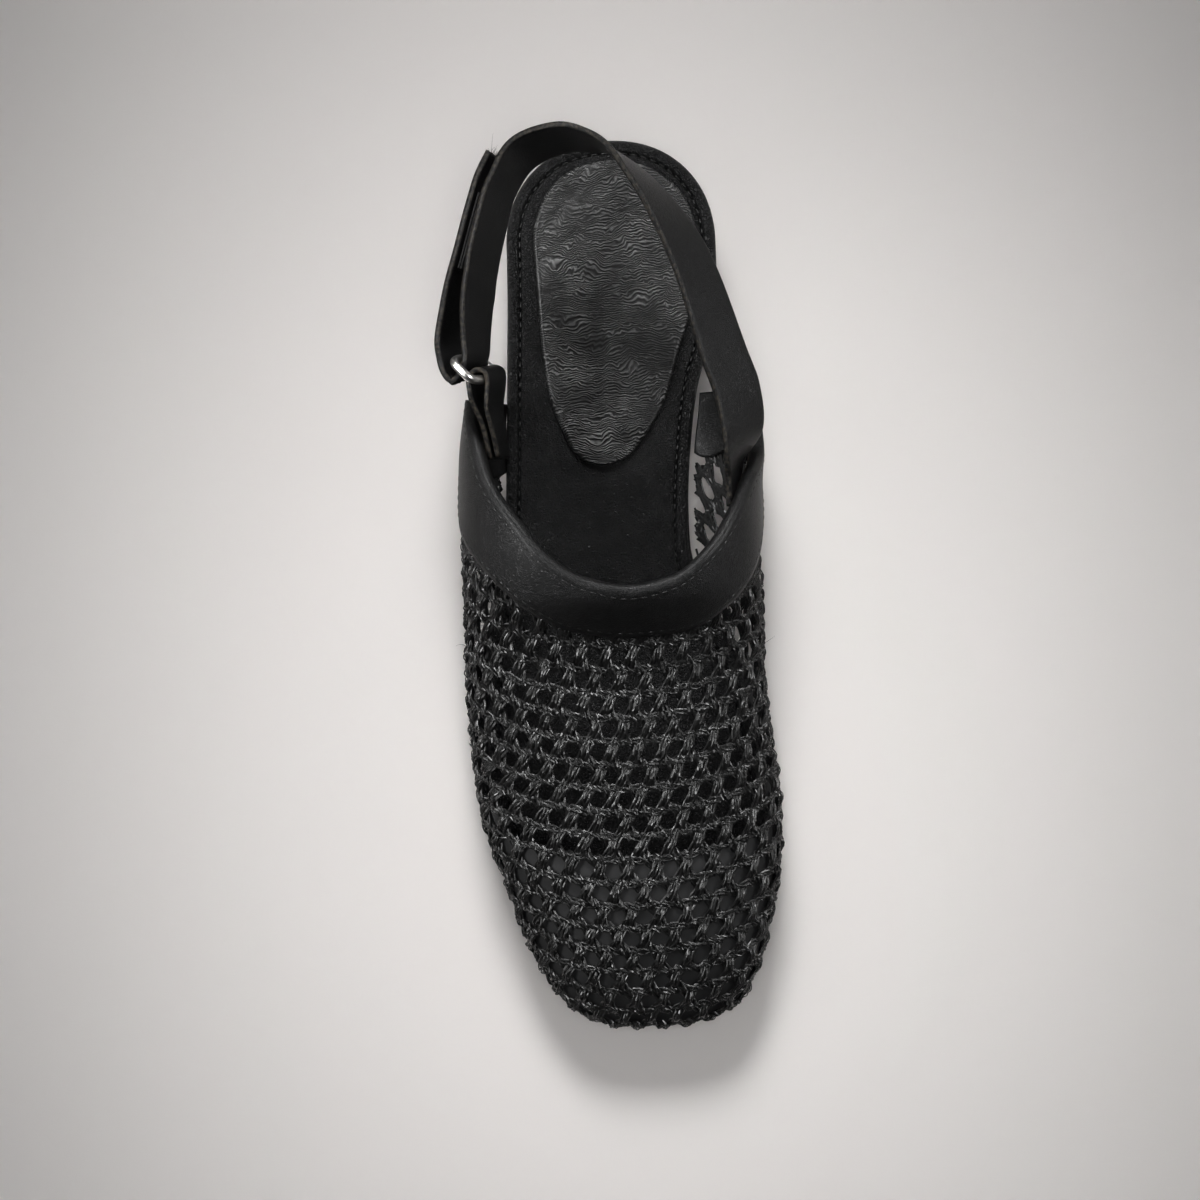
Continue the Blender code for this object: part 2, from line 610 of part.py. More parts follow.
def make_vamp():
    """The woven upper: holes through the wall behind the lining line, dimples in the toe.

    The wall is laid out flat as a lattice of six-sided cells, whose rows bow back at the sides, and then
    draped over the upper's surface. The corners of the cells stand proud as the crossing strands do.
    """
    loop = vamp_outline()
    rows = np.arange(-8, 18)
    places = np.arange(-9, 10)
    grid = [((i + 0.5 * (j % 2)) * NET_PITCH, j * NET_PITCH * math.sqrt(0.75)) for j in rows for i in places]
    centres = np.array(grid)
    angle = np.radians(np.arange(6) * 60.0)
    hexagon = np.stack((np.cos(angle), np.sin(angle)), axis=1)
    between = angle + math.pi / 6.0
    corner = NET_PITCH / math.sqrt(3.0) * np.stack((np.cos(between), np.sin(between)), axis=1)

    def bowed(points):
        return np.stack((points[..., 0], points[..., 1] + NET_BOW * points[..., 0] ** 2), axis=-1)

    holes = bowed(centres[:, None, :] + NET_HOLE * hexagon[None, :, :])
    fits = inside(holes.reshape(-1, 2), loop, NET_BORDER).reshape(-1, 6).all(axis=1)
    holes = holes[fits]
    middles = bowed(centres[fits])
    tops = bowed((centres[:, None, :] + corner[None, :, :]).reshape(-1, 2))
    tops = np.unique(np.round(tops, 7), axis=0)
    tops = tops[inside(tops, loop, NET_BORDER)]
    middle_of_hole = ((tops[:, None, :] - middles[None, :, :]) ** 2).sum(-1).min(axis=1)
    tops = tops[middle_of_hole > (1.1 * NET_HOLE) ** 2]

    flat = [Vector(p) for p in loop]
    edges = [(i, (i + 1) % len(loop)) for i in range(len(loop))]
    raised = [0.0] * len(loop)
    open_hole = []
    for hole, middle in zip(holes, middles):
        first = len(flat)
        flat += [Vector(p) for p in hole]
        edges += [(first + k, first + (k + 1) % 6) for k in range(6)]
        raised += [0.0] * 6
        is_open = middle[1] > lining_line(middle[0])
        open_hole.append(is_open)
        if not is_open:
            flat.append(Vector(middle))
            raised.append(-NET_DIMPLE)
    for top in tops:
        flat.append(Vector(top))
        raised.append(NET_RELIEF)
    verts, _, faces, source, _, _ = delaunay_2d_cdt(flat, edges, [], 1, 1e-7)
    verts = np.array([(v.x, v.y) for v in verts])
    proud = np.array([raised[s[0]] if s else 0.0 for s in source])
    cut = middles[np.array(open_hole)]
    middle_of_face = np.array([verts[list(f)].mean(axis=0) for f in faces])
    nearest = np.sqrt(((middle_of_face[:, None, :] - cut[None, :, :]) ** 2).sum(-1).min(axis=1))
    keep = [tuple(f) for f, d in zip(faces, nearest) if d > 0.86 * NET_HOLE]
    used = sorted({i for f in keep for i in f})
    number = {old: new for new, old in enumerate(used)}
    points = upper_surface(verts[used, 0], verts[used, 1], proud[used])
    made = add_object("vamp", points, [tuple(number[i] for i in f) for f in keep],
                      material("woven raffia", (0.022, 0.022, 0.022), 0.62))
    thicken(made, VAMP_WALL, -1.0)
    return made


def make_collar():
    """The leather band on the outside of the throat and the wings."""
    count, across = 49, 4
    top = collar_edge("top", count)
    low = collar_edge("low", count)
    share = np.linspace(0.0, 1.0, across)[None, :, None]
    flat = (top[:, None, :] * (1.0 - share) + low[:, None, :] * share).reshape(-1, 2)
    proud = np.full(len(flat), CLEARANCE + NET_RELIEF)
    points = upper_surface(flat[:, 0], flat[:, 1], proud)
    faces = [(i * across + j, i * across + j + 1, (i + 1) * across + j + 1, (i + 1) * across + j)
             for i in range(count - 1) for j in range(across - 1)]
    made = add_object("collar", points, faces, material("collar leather", (0.034, 0.034, 0.035), 0.46))
    thicken(made, COLLAR_THICKNESS, 1.0)
    return made


def path_points(table):
    """A path table as arrays of middle points and of unit vectors across the width."""
    get = {name: column(table, STRAP_COLUMNS, name) for name in STRAP_COLUMNS}
    middle = np.stack((get["x"] * HEEL_WIDTH, y_of(get["y"]), get["z"] * STRAP_HEIGHT), axis=1)
    across = np.stack((get["lean_x"], get["lean_y"], np.ones(len(middle))), axis=1)
    return middle, across / np.linalg.norm(across, axis=1, keepdims=True)


def spline(points, per_row):
    """Catmull-Rom curve through the rows."""
    ends = np.concatenate(([2.0 * points[0] - points[1]], points, [2.0 * points[-1] - points[-2]]))
    out = []
    for i in range(1, len(ends) - 2):
        t = np.linspace(0.0, 1.0, per_row, endpoint=False)[:, None]
        p0, p1, p2, p3 = ends[i - 1], ends[i], ends[i + 1], ends[i + 2]
        out.append(0.5 * (2.0 * p1 + (p2 - p0) * t + (2.0 * p0 - 5.0 * p1 + 4.0 * p2 - p3) * t ** 2
                          + (3.0 * p1 - p0 - 3.0 * p2 + p3) * t ** 3))
    out.append(points[-1][None, :])
    return np.concatenate(out)


def ribbon(name, middle, across, width, thickness, finish):
    """A flat strap along a path: an open surface two edges wide, thickened."""
    edges = np.stack((middle - across * width / 2.0, middle + across * width / 2.0), axis=1)
    points = edges.reshape(-1, 3)
    faces = [(2 * i, 2 * i + 2, 2 * i + 3, 2 * i + 1) for i in range(len(middle) - 1)]
    made = add_object(name, points, faces, finish)
    thicken(made, thickness, 0.0)
    return made


def face_normals(middle, across):
    """Unit normals of a strap's face; on the way round the heel they point away from the foot."""
    normal = np.cross(np.gradient(middle, axis=0), across)
    return normal / np.linalg.norm(normal, axis=1, keepdims=True)


def strap_path():
    """Middle points, width directions and face normals along the whole strap.

    The folded layer lies beside the stretch from the heel to the ring, at its gap along the normal.
    """
    middle, across = path_points(STRAP_PATH)
    first = spline(middle, STRAP_STEPS)
    lean = spline(across, STRAP_STEPS)
    outward = face_normals(first, lean)
    back = int(np.argmax(first[:, 1]))
    ring = back + int(np.argmin(first[back:, 1]))
    stretch = slice(ring, back, -1)
    rows = y_of(column(RETURN_LAYER, RETURN_COLUMNS, "along"))

    def beside(values):
        return np.stack([np.interp(rows, first[stretch, 1], values[stretch, k]) for k in range(3)], axis=1)

    gap = column(RETURN_LAYER, RETURN_COLUMNS, "gap") * STRAP_THICKNESS
    folded = beside(first) + beside(outward) * gap[:, None]
    folded_lean = beside(lean)
    folded_lean /= np.linalg.norm(folded_lean, axis=1, keepdims=True)
    middle = spline(np.concatenate((middle, folded)), STRAP_STEPS)
    across = spline(np.concatenate((across, folded_lean)), STRAP_STEPS)
    across /= np.linalg.norm(across, axis=1, keepdims=True)
    return middle, across, face_normals(middle, across)


def make_strap():
    """The sling strap with its layer folded back through the ring, and the two tapes between the layers."""
    middle, across, normal = strap_path()
    leather = material("strap leather", (0.034, 0.034, 0.035), 0.45)
    ribbon("sling_strap", middle, across, STRAP_WIDTH, STRAP_THICKNESS, leather)
    length = np.concatenate(([0.0], np.cumsum(np.linalg.norm(np.diff(middle, axis=0), axis=1))))
    start = TAPE_START * length[-1]
    stops = np.linspace(start, start + TAPE_LENGTH, 9)

    def at(values):
        return np.stack([np.interp(stops, length, values[:, k]) for k in range(3)], axis=1)

    seat = STRAP_THICKNESS / 2.0 + CLEARANCE + TAPE_THICKNESS / 2.0
    loop = at(middle) + at(normal) * seat
    hook = loop + at(normal) * (TAPE_THICKNESS + CLEARANCE)
    soft = material("loop tape", (0.010, 0.010, 0.010), 0.9)
    stiff = material("hook tape", (0.012, 0.012, 0.012), 0.8)
    ribbon("loop_tape", loop, at(across), TAPE_WIDTH, TAPE_THICKNESS, soft)
    ribbon("hook_tape", hook, at(across), TAPE_WIDTH, TAPE_THICKNESS, stiff)


def make_tab():
    """The tab: a leather strip folded round the ring's bar with both ends inside the lateral wing."""
    middle, across = path_points(TAB_PATH)
    middle = spline(middle, 4)
    across = spline(across, 4)
    across /= np.linalg.norm(across, axis=1, keepdims=True)
    leather = material("tab leather", (0.026, 0.026, 0.027), 0.45)
    ribbon("ring_tab", middle, across, TAB_WIDTH, TAB_THICKNESS, leather)


def make_ring():
    """The oval ring: a superellipse of round wire, leaning as the strap does."""
    centre = np.array((RING_CENTRE[0] * HEEL_WIDTH, y_of(RING_CENTRE[1]), RING_CENTRE[2] * STRAP_HEIGHT))
    turn = math.radians(RING_TURN)
    tall = np.array((*RING_LEAN, 1.0))
    tall /= np.linalg.norm(tall)
    wide = np.array((math.cos(turn), math.sin(turn), 0.0))
    wide -= tall * np.dot(tall, wide)
    wide /= np.linalg.norm(wide)
    curve = bpy.data.curves.new("ring", "CURVE")
    curve.dimensions = "3D"
    curve.bevel_depth = RING_WIRE / 2.0
    curve.bevel_resolution = 2
    turns = np.linspace(0.0, 2.0 * math.pi, RING_POINTS, endpoint=False)
    x = RING_WIDTH / 2.0 * np.sign(np.cos(turns)) * np.abs(np.cos(turns)) ** (2.0 / RING_SQUARENESS)
    y = RING_HEIGHT / 2.0 * np.sign(np.sin(turns)) * np.abs(np.sin(turns)) ** (2.0 / RING_SQUARENESS)
    path = list(zip(x, y))
    line = curve.splines.new("POLY")
    line.points.add(len(path) - 1)
    line.use_cyclic_u = True
    for point, (x, y) in zip(line.points, path):
        point.co = (*(centre + wide * x + tall * y), 1.0)
    made = bpy.data.objects.new("ring", curve)
    curve.materials.append(material("polished metal", (0.78, 0.77, 0.74), 0.16, 1.0))
    SHOE.objects.link(made)


clear_scene()
SHOE = bpy.data.collections.new("slingback_flat")
bpy.context.scene.collection.children.link(SHOE)
make_outsole()
make_footbed()
make_sock()
make_heel_pad()
make_vamp()
make_collar()
make_strap()
make_tab()
make_ring()
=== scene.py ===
"""Looks of a slingback flat, right shoe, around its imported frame, in metres.

+Z is up, the toe points to -Y, the medial side is +X. The shoe is built up as a shoemaker does: unit
sole, footbed, sock and pad, woven upper and its lining, collar, sling strap, tab and ring.
"""
import math

import bpy
import numpy as np
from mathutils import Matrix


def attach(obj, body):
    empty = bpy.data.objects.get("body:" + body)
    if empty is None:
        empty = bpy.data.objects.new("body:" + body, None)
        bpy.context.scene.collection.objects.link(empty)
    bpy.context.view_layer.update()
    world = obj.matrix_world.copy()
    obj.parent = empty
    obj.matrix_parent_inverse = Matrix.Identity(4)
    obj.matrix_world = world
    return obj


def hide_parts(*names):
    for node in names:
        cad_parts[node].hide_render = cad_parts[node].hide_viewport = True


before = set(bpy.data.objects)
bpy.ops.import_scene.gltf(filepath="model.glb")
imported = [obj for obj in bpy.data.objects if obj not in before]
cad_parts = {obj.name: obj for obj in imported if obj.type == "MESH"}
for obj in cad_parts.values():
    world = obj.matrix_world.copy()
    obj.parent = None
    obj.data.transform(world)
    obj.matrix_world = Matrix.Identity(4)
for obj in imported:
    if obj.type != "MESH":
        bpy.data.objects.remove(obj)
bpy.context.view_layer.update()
MM = 0.001

# Camera, light and floor
# The camera looks straight down from 1.1 m, rolled so that its right vector lies along the photo's rows. A
# narrow soft box hangs over the vamp and one stands behind the heel, so that the floor darkens towards the
# corners. Two side panels show in glossy surfaces only, and a room that these don't see fills the shadows.
CAMERA_PLACE = (-0.00827, -0.10421, 1.100)
CAMERA_TURN = math.radians(-2.946)
CAMERA_FIELD = math.radians(17.77)
# Columns: name, place, y of the floor's point that it faces, size, power, spread in degrees, whether it
# lights matt surfaces, whether it shows in glossy ones.
LAMPS = (
    ("top", (0.0, -0.165, 0.95), -0.165, 0.30, 0.20, 38.0, True, False),
    ("back", (-0.03, 0.54, 0.62), -0.15, 0.30, 0.41, 34.5, True, True),
    ("left", (-0.62, -0.05, 0.62), -0.10, 0.26, 4.0, 120.0, False, True),
    ("right", (0.66, 0.02, 0.58), -0.10, 0.24, 2.6, 120.0, False, True),
)
FLOOR_SIZE = 6.0
FLOOR_COLOUR = (0.75, 0.72, 0.702)
ROOM_STRENGTH = 0.16
PICTURE_GAMMA = 0.88

lens = bpy.data.cameras.new("camera")
lens.sensor_fit = "HORIZONTAL"
lens.angle = CAMERA_FIELD
camera = bpy.data.objects.new("camera", lens)
camera.location = CAMERA_PLACE
camera.rotation_euler = (0.0, 0.0, CAMERA_TURN)
bpy.context.scene.collection.objects.link(camera)
bpy.context.scene.camera = camera

bpy.context.scene.view_settings.view_transform = "Standard"
bpy.context.scene.view_settings.gamma = PICTURE_GAMMA

for lamp_name, place, faces_y, size, power, spread, lights, shines in LAMPS:
    light = bpy.data.lights.new(lamp_name, "AREA")
    light.size = size
    light.energy = power
    light.spread = math.radians(spread)
    lamp = bpy.data.objects.new(lamp_name, light)
    lamp.visible_camera = False
    lamp.visible_diffuse = lights
    lamp.visible_glossy = shines
    lamp.location = place
    aim = np.array((0.0, faces_y, 0.0)) - np.array(place)
    lamp.rotation_euler = (math.atan2(math.hypot(aim[0], aim[1]), -aim[2]), 0.0, math.atan2(-aim[0], aim[1]))
    bpy.context.scene.collection.objects.link(lamp)

room = bpy.data.worlds.new("room")
room.use_nodes = True
room.node_tree.nodes["Background"].inputs["Color"].default_value = (1.0, 1.0, 1.0, 1.0)
room.node_tree.nodes["Background"].inputs["Strength"].default_value = ROOM_STRENGTH
bpy.context.scene.world = room
room.cycles_visibility.glossy = False

floor_mesh = bpy.data.meshes.new("floor")
half_floor = FLOOR_SIZE / 2.0
floor_mesh.from_pydata([(-half_floor, -half_floor, 0.0), (half_floor, -half_floor, 0.0),
                        (half_floor, half_floor, 0.0), (-half_floor, half_floor, 0.0)], [], [(0, 1, 2, 3)])
floor_paint = bpy.data.materials.new("floor")
floor_paint.use_nodes = True
floor_paint.node_tree.nodes["Principled BSDF"].inputs["Base Color"].default_value = (*FLOOR_COLOUR, 1.0)
floor_paint.node_tree.nodes["Principled BSDF"].inputs["Roughness"].default_value = 0.9
floor_mesh.materials.append(floor_paint)
floor = bpy.data.objects.new("floor", floor_mesh)
bpy.context.scene.collection.objects.link(floor)

# Unit sole
# One moulding of black rubber under the whole shoe: thin forefoot with a little toe spring, an arch, a
# low heel block. It is cemented to the footbed, and its edge shows as a thin dark line round the toe.
LENGTH = 250.7 * MM
HEEL_BACK = 25.0 * MM
UPPER_WIDTH = 85.0 * MM
INSTEP_HEIGHT = 68.0 * MM
HEEL_WIDTH = 59.0 * MM
TOE_REACH = 44.4 * MM
TOE_CENTRE = 0.822
HEEL_CENTRE = 0.118
HEEL_ROUNDNESS = 0.92
CLEARANCE = 0.35 * MM
HEEL_HEIGHT = 14.5 * MM
BREAST_LENGTH = 49.0 * MM
SOLE_TAPER = 1.2 * MM
VAMP_WALL = 1.6 * MM
TOE_TUCK = 2.5 * MM
SIDE_TUCK = 3.6 * MM

# Outline of the toe. turn: degrees from straight ahead, lateral side negative; reach: share of TOE_REACH.
TOE_OUTLINE = np.array((
    (-90, 0.885), (-75, 0.851), (-60, 0.869), (-45, 0.919), (-30, 0.991), (-15, 1.011), (0, 1.000),
    (15, 1.027), (30, 1.041), (45, 0.973), (60, 0.892), (75, 0.858), (90, 0.869),
))
# Outline of the insole board. Columns: share of LENGTH from the heel's back, half widths of the lateral
# and of the medial side as shares of HEEL_WIDTH, and how far the sole stands out, share of VAMP_WALL.
BOARD_OUTLINE = np.array((
    (0.118, 0.500, 0.500, -0.55), (0.175, 0.508, 0.495, -0.55), (0.230, 0.522, 0.447, -0.50),
    (0.287, 0.536, 0.373, -0.45), (0.347, 0.553, 0.332, -0.30), (0.399, 0.566, 0.310, 0.00),
    (0.459, 0.597, 0.298, 0.40), (0.519, 0.644, 0.356, 1.00), (0.558, 0.678, 0.441, 1.35),
    (0.598, 0.700, 0.515, 1.50), (0.678, 0.715, 0.580, 1.50), (0.738, 0.695, 0.610, 1.50),
    (0.786, 0.654, 0.610, 1.50), (0.822, 0.605, 0.593, 1.50),
))
# Side profile of the sole. Columns: share of LENGTH, heights of underside and top, shares of HEEL_HEIGHT.
SOLE_PROFILE = np.array((
    (0.000, 0.520, 1.000), (0.210, 0.520, 0.980), (0.300, 0.470, 0.870), (0.420, 0.200, 0.630),
    (0.520, 0.015, 0.400), (0.550, 0.000, 0.350), (0.735, 0.000, 0.330), (0.860, 0.110, 0.425),
    (1.000, 0.415, 0.720),
))
TREAD_GROOVE = 0.5 * MM
TREAD_BORDER = 6.0 * MM
TREAD_FIELD = 14.0 * MM


def smooth(x, xs, ys):
    """Monotone cubic curve through the rows: Hermite pieces whose slopes are harmonic means."""
    x = np.clip(np.asarray(x, dtype=float), xs[0], xs[-1])
    step = np.diff(xs)
    rise = np.diff(ys) / step
    slope = np.zeros(len(xs))
    w1 = 2.0 * step[1:] + step[:-1]
    w2 = step[1:] + 2.0 * step[:-1]
    with np.errstate(divide="ignore", invalid="ignore"):
        mean = (w1 + w2) / (w1 / rise[:-1] + w2 / rise[1:])
    slope[1:-1] = np.where(rise[:-1] * rise[1:] > 0.0, mean, 0.0)
    slope[0] = rise[0]
    slope[-1] = rise[-1]
    i = np.clip(np.searchsorted(xs, x, side="right") - 1, 0, len(step) - 1)
    t = (x - xs[i]) / step[i]
    h = step[i]
    a = ys[i] * (1.0 + 2.0 * t) * (1.0 - t) ** 2 + slope[i] * h * t * (1.0 - t) ** 2
    b = ys[i + 1] * t * t * (3.0 - 2.0 * t) + slope[i + 1] * h * t * t * (t - 1.0)
    return a + b


def normed(vectors):
    """Vectors divided by their own lengths."""
    return vectors / np.maximum(np.linalg.norm(vectors, axis=-1, keepdims=True), 1e-12)


def run_of(points):
    """Distance along a polyline at each of its points."""
    return np.concatenate(([0.0], np.cumsum(np.linalg.norm(np.diff(points, axis=0), axis=1))))


def read_line(at, reach, values):
    """Values of a polyline, column by column, at the distances at."""
    return np.stack([np.interp(at, reach, values[:, k]) for k in range(3)], axis=1)


def y_of(along):
    """Place on the long axis of a share of the length: heel's back minus share times length."""
    return HEEL_BACK - np.asarray(along) * LENGTH


def along_of(y):
    """Share of the length at a place on the long axis, the inverse of y_of."""
    return (HEEL_BACK - np.asarray(y)) / LENGTH


def sole_bottom(y):
    """Height of the sole's underside: zero under the heel block, then the profile's arch."""
    along = along_of(y)
    arch = HEEL_HEIGHT * smooth(along, SOLE_PROFILE[:, 0], SOLE_PROFILE[:, 1])
    return np.where(along <= (HEEL_BACK + BREAST_LENGTH / 2.0) / LENGTH + 1e-6, 0.0, arch)


def sole_top(y):
    """Height of the sole's top, from the profile."""
    return HEEL_HEIGHT * smooth(along_of(y), SOLE_PROFILE[:, 0], SOLE_PROFILE[:, 2])


def toe_reach(turn):
    """Reach of the upper from the toe's centre at turn radians from straight ahead."""
    return TOE_REACH * smooth(turn, np.radians(TOE_OUTLINE[:, 0]), TOE_OUTLINE[:, 1])


def toe_tuck(turn):
    """How far the board stays inside the upper: the toe's tuck blended to the sides' by the sine squared."""
    return TOE_TUCK + (SIDE_TUCK - TOE_TUCK) * np.sin(turn) ** 2


def board_half(y, side):
    """Half width of the board at y; side is 1 for the lateral and 2 for the medial column."""
    return HEEL_WIDTH * smooth(along_of(y), BOARD_OUTLINE[:, 0], BOARD_OUTLINE[:, side])


def offset_loop(loop, distance):
    """A closed loop moved out: each point plus distance times the loop's outward normal."""
    way = normed(np.roll(loop, -1, axis=0) - np.roll(loop, 1, axis=0))
    normal = np.stack((way[:, 1], -way[:, 0]), axis=1)
    if np.sum((loop - loop.mean(axis=0)) * normal) < 0.0:
        normal = -normal
    return loop + normal * np.asarray(distance)[..., None]


def board_loop():
    """The board's outline: toe by its reach, sides by the table, heel as a superellipse; lateral first."""
    halves = []
    breast = (HEEL_BACK + BREAST_LENGTH / 2.0) / LENGTH
    turn = np.radians(np.linspace(1.5, 88.5, 40))
    stations = np.unique(np.concatenate((np.linspace(TOE_CENTRE, HEEL_CENTRE + 0.006, 112),
                                         (breast, breast + 0.004))))[::-1]
    swing = np.radians(np.linspace(1.5, 88.5, 36))
    for sign, side in ((-1.0, 1), (1.0, 2)):
        reach = toe_reach(turn * sign) - toe_tuck(turn)
        toe = np.stack((sign * reach * np.sin(turn), y_of(TOE_CENTRE) - reach * np.cos(turn)), axis=1)
        y = y_of(stations)
        sides = np.stack((sign * board_half(y, side), y), axis=1)
        centre = y_of(HEEL_CENTRE)
        heel_x = sign * board_half(centre, side) * np.cos(swing) ** HEEL_ROUNDNESS
        heel_y = centre + (HEEL_BACK - centre) * np.sin(swing) ** HEEL_ROUNDNESS
        halves.append(np.concatenate((toe, sides, np.stack((heel_x, heel_y), axis=1))))
    return np.concatenate((halves[0], halves[1][::-1]))


def put_piece(name, points, faces, finish, uv=None):
    """A smooth-shaded object at the origin from points and four-sided faces, riding on the shoe's body.

    The faces are turned outwards: they are reversed where the volume that they enclose comes out negative.
    """
    points = np.asarray(points, dtype=np.float32).reshape(-1, 3)
    faces = np.asarray(faces, dtype=np.int32).reshape(-1, 4)
    p, q, r, s = (points[faces[:, k]] for k in range(4))
    if np.sum(p * np.cross(q, r)) + np.sum(p * np.cross(r, s)) < 0.0:
        faces = faces[:, ::-1]
    mesh = bpy.data.meshes.new(name)
    mesh.vertices.add(len(points))
    mesh.vertices.foreach_set("co", points.ravel())
    mesh.loops.add(faces.size)
    mesh.loops.foreach_set("vertex_index", faces.ravel())
    mesh.polygons.add(len(faces))
    mesh.polygons.foreach_set("loop_start", np.arange(0, faces.size, 4, dtype=np.int32))
    mesh.update(calc_edges=True)
    if uv is not None:
        layer = mesh.uv_layers.new(name="UVMap")
        layer.data.foreach_set("uv", np.asarray(uv, dtype=np.float32).reshape(-1, 2)[faces.ravel()].ravel())
    mesh.shade_smooth()
    mesh.materials.append(finish)
    made = bpy.data.objects.new(name, mesh)
    bpy.context.scene.collection.objects.link(made)
    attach(made, "root")
    return made


def grid_faces(rows, columns, first=0, closed=False):
    """Faces of a grid of points: each joins two neighbours of a row to those of the next row."""
    across = columns if closed else columns - 1
    i, j = np.meshgrid(np.arange(rows - 1), np.arange(across), indexing="ij")
    k = (j + 1) % columns
    return first + np.stack((i * columns + j, i * columns + k, (i + 1) * columns + k, (i + 1) * columns + j),
                            axis=-1).reshape(-1, 4)


def ring_faces(count, rings):
    """Faces of rings round one loop of count points, its ends closed by ladders between the two halves."""
    side = grid_faces(rings, count, closed=True)
    i = np.arange(count // 2 - 1)
    bottom = np.stack((i + 1, i, count - 1 - i, count - 2 - i), axis=1)
    top = (rings - 1) * count + np.stack((i, i + 1, count - 2 - i, count - 1 - i), axis=1)
    return np.concatenate((side, bottom, top))


def ring_piece(name, loop, rings, finish):
    """A piece of rings round a loop: each ring is a distance moved out and a height over y."""
    stations = loop[:, 1]
    points = [np.column_stack((offset_loop(loop, np.full(len(loop), distance)), height(stations)))
              for distance, height in rings]
    return put_piece(name, np.concatenate(points), ring_faces(len(loop), len(rings)), finish)


def add_node(made, kind, inputs=None, **settings):
    """A node in a material: each input is a value, or a socket that is linked to it."""
    node = made.node_tree.nodes.new(kind)
    for key, value in settings.items():
        setattr(node, key, value)
    for key, value in (inputs or {}).items():
        if isinstance(value, bpy.types.NodeSocket):
            made.node_tree.links.new(value, node.inputs[key])
        else:
            node.inputs[key].default_value = value
    return node


def start_finish(name, roughness, **shader_values):
    """A new material and its shader, with the values that are the same all over."""
    made = bpy.data.materials.new(name)
    made.use_nodes = True
    shader = made.node_tree.nodes["Principled BSDF"]
    shader.inputs["Roughness"].default_value = roughness
    for key, value in shader_values.items():
        shader.inputs[key.replace("_", " ")].default_value = value
    return made, shader


def emboss(made, shader, height, strength, distance):
    """A bump from a height socket, distance deep at full strength, on the shader's normal."""
    bump = add_node(made, "ShaderNodeBump", {"Height": height, "Strength": strength, "Distance": distance})
    made.node_tree.links.new(bump.outputs["Normal"], shader.inputs["Normal"])


def colour_ramp(made, shader, factor, low, dark, high, light):
    """Colour from a factor: dark below low, light above high, and a straight mix between them."""
    ramp = add_node(made, "ShaderNodeValToRGB", {"Fac": factor})
    for stop, place, colour in zip(ramp.color_ramp.elements, (low, high), (dark, light)):
        stop.position = place
        stop.color = (*colour, 1.0)
    made.node_tree.links.new(ramp.outputs["Color"], shader.inputs["Base Color"])


def mottled_finish(name, roughness, scale, dark, light, **shader_values):
    """A material whose colour wanders between dark and light with soft noise of the given scale.

    Gives the material, its shader, the noise's factor and the place that the noise reads.
    """
    made, shader = start_finish(name, roughness, **shader_values)
    place = add_node(made, "ShaderNodeTexCoord").outputs["Object"]
    noise = add_node(made, "ShaderNodeTexNoise", {"Vector": place, "Scale": scale, "Detail": 4.0})
    colour_ramp(made, shader, noise.outputs["Fac"], 0.3, dark, 0.7, light)
    return made, shader, noise.outputs["Fac"], place


rubber, rubber_shader, _, rubber_place = mottled_finish("sole_rubber", 0.62, 60.0, (0.009,) * 3, (0.017,) * 3)
rubber_grain = add_node(rubber, "ShaderNodeTexNoise",
                        {"Vector": rubber_place, "Scale": 2200.0, "Detail": 2.0})
emboss(rubber, rubber_shader, rubber_grain.outputs["Fac"], 0.35, 0.00015)

BOARD_LOOP = board_loop()
welt = smooth(along_of(BOARD_LOOP[:, 1]), BOARD_OUTLINE[:, 0], BOARD_OUTLINE[:, 3]) * VAMP_WALL
sole_loop = offset_loop(BOARD_LOOP, welt)


def tread(depth):
    """Underside lowered towards the tread, or raised into it by depth."""
    return lambda y: sole_bottom(y) + depth


outsole = ring_piece("outsole_rubber", sole_loop, (
    (-TREAD_FIELD, tread(TREAD_GROOVE)),
    (-TREAD_BORDER - 0.4 * MM, tread(TREAD_GROOVE)),
    (-TREAD_BORDER, tread(0.0)),
    (-SOLE_TAPER - 0.6 * MM, tread(0.0)),
    (-SOLE_TAPER, tread(0.25 * MM)),
    (-0.75 * SOLE_TAPER, lambda y: 0.9 * sole_bottom(y) + 0.1 * sole_top(y) + 0.2 * MM),
    (-0.35 * SOLE_TAPER, lambda y: 0.6 * sole_bottom(y) + 0.4 * sole_top(y)),
    (-0.15 * SOLE_TAPER, lambda y: 0.25 * sole_bottom(y) + 0.75 * sole_top(y)),
    (0.0, lambda y: sole_top(y) - 0.5 * MM),
    (-0.35 * MM, lambda y: sole_top(y) - 0.1 * MM),
    (-0.8 * MM, sole_top),
    (-3.0 * MM, sole_top),
), rubber)
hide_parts("outsole")

# Footbed
# The insole board wrapped in smooth black leather. The wrap is turned over the edge as a soft rim with
# fine wrinkles, drawn down inside into a groove where it is stitched round the sock.
BOARD_THICKNESS = 4.7 * MM
RIM_WIDTH = 3.7 * MM
RECESS_DEPTH = 1.6 * MM
STITCH_PITCH = 2.8 * MM
STITCH_LENGTH = 2.05 * MM
THREAD = 0.5 * MM


def board_z(level):
    """Height over y of a level of the board: sole's top, clearance and level times the thickness."""
    return lambda y: sole_top(y) + CLEARANCE + level * BOARD_THICKNESS


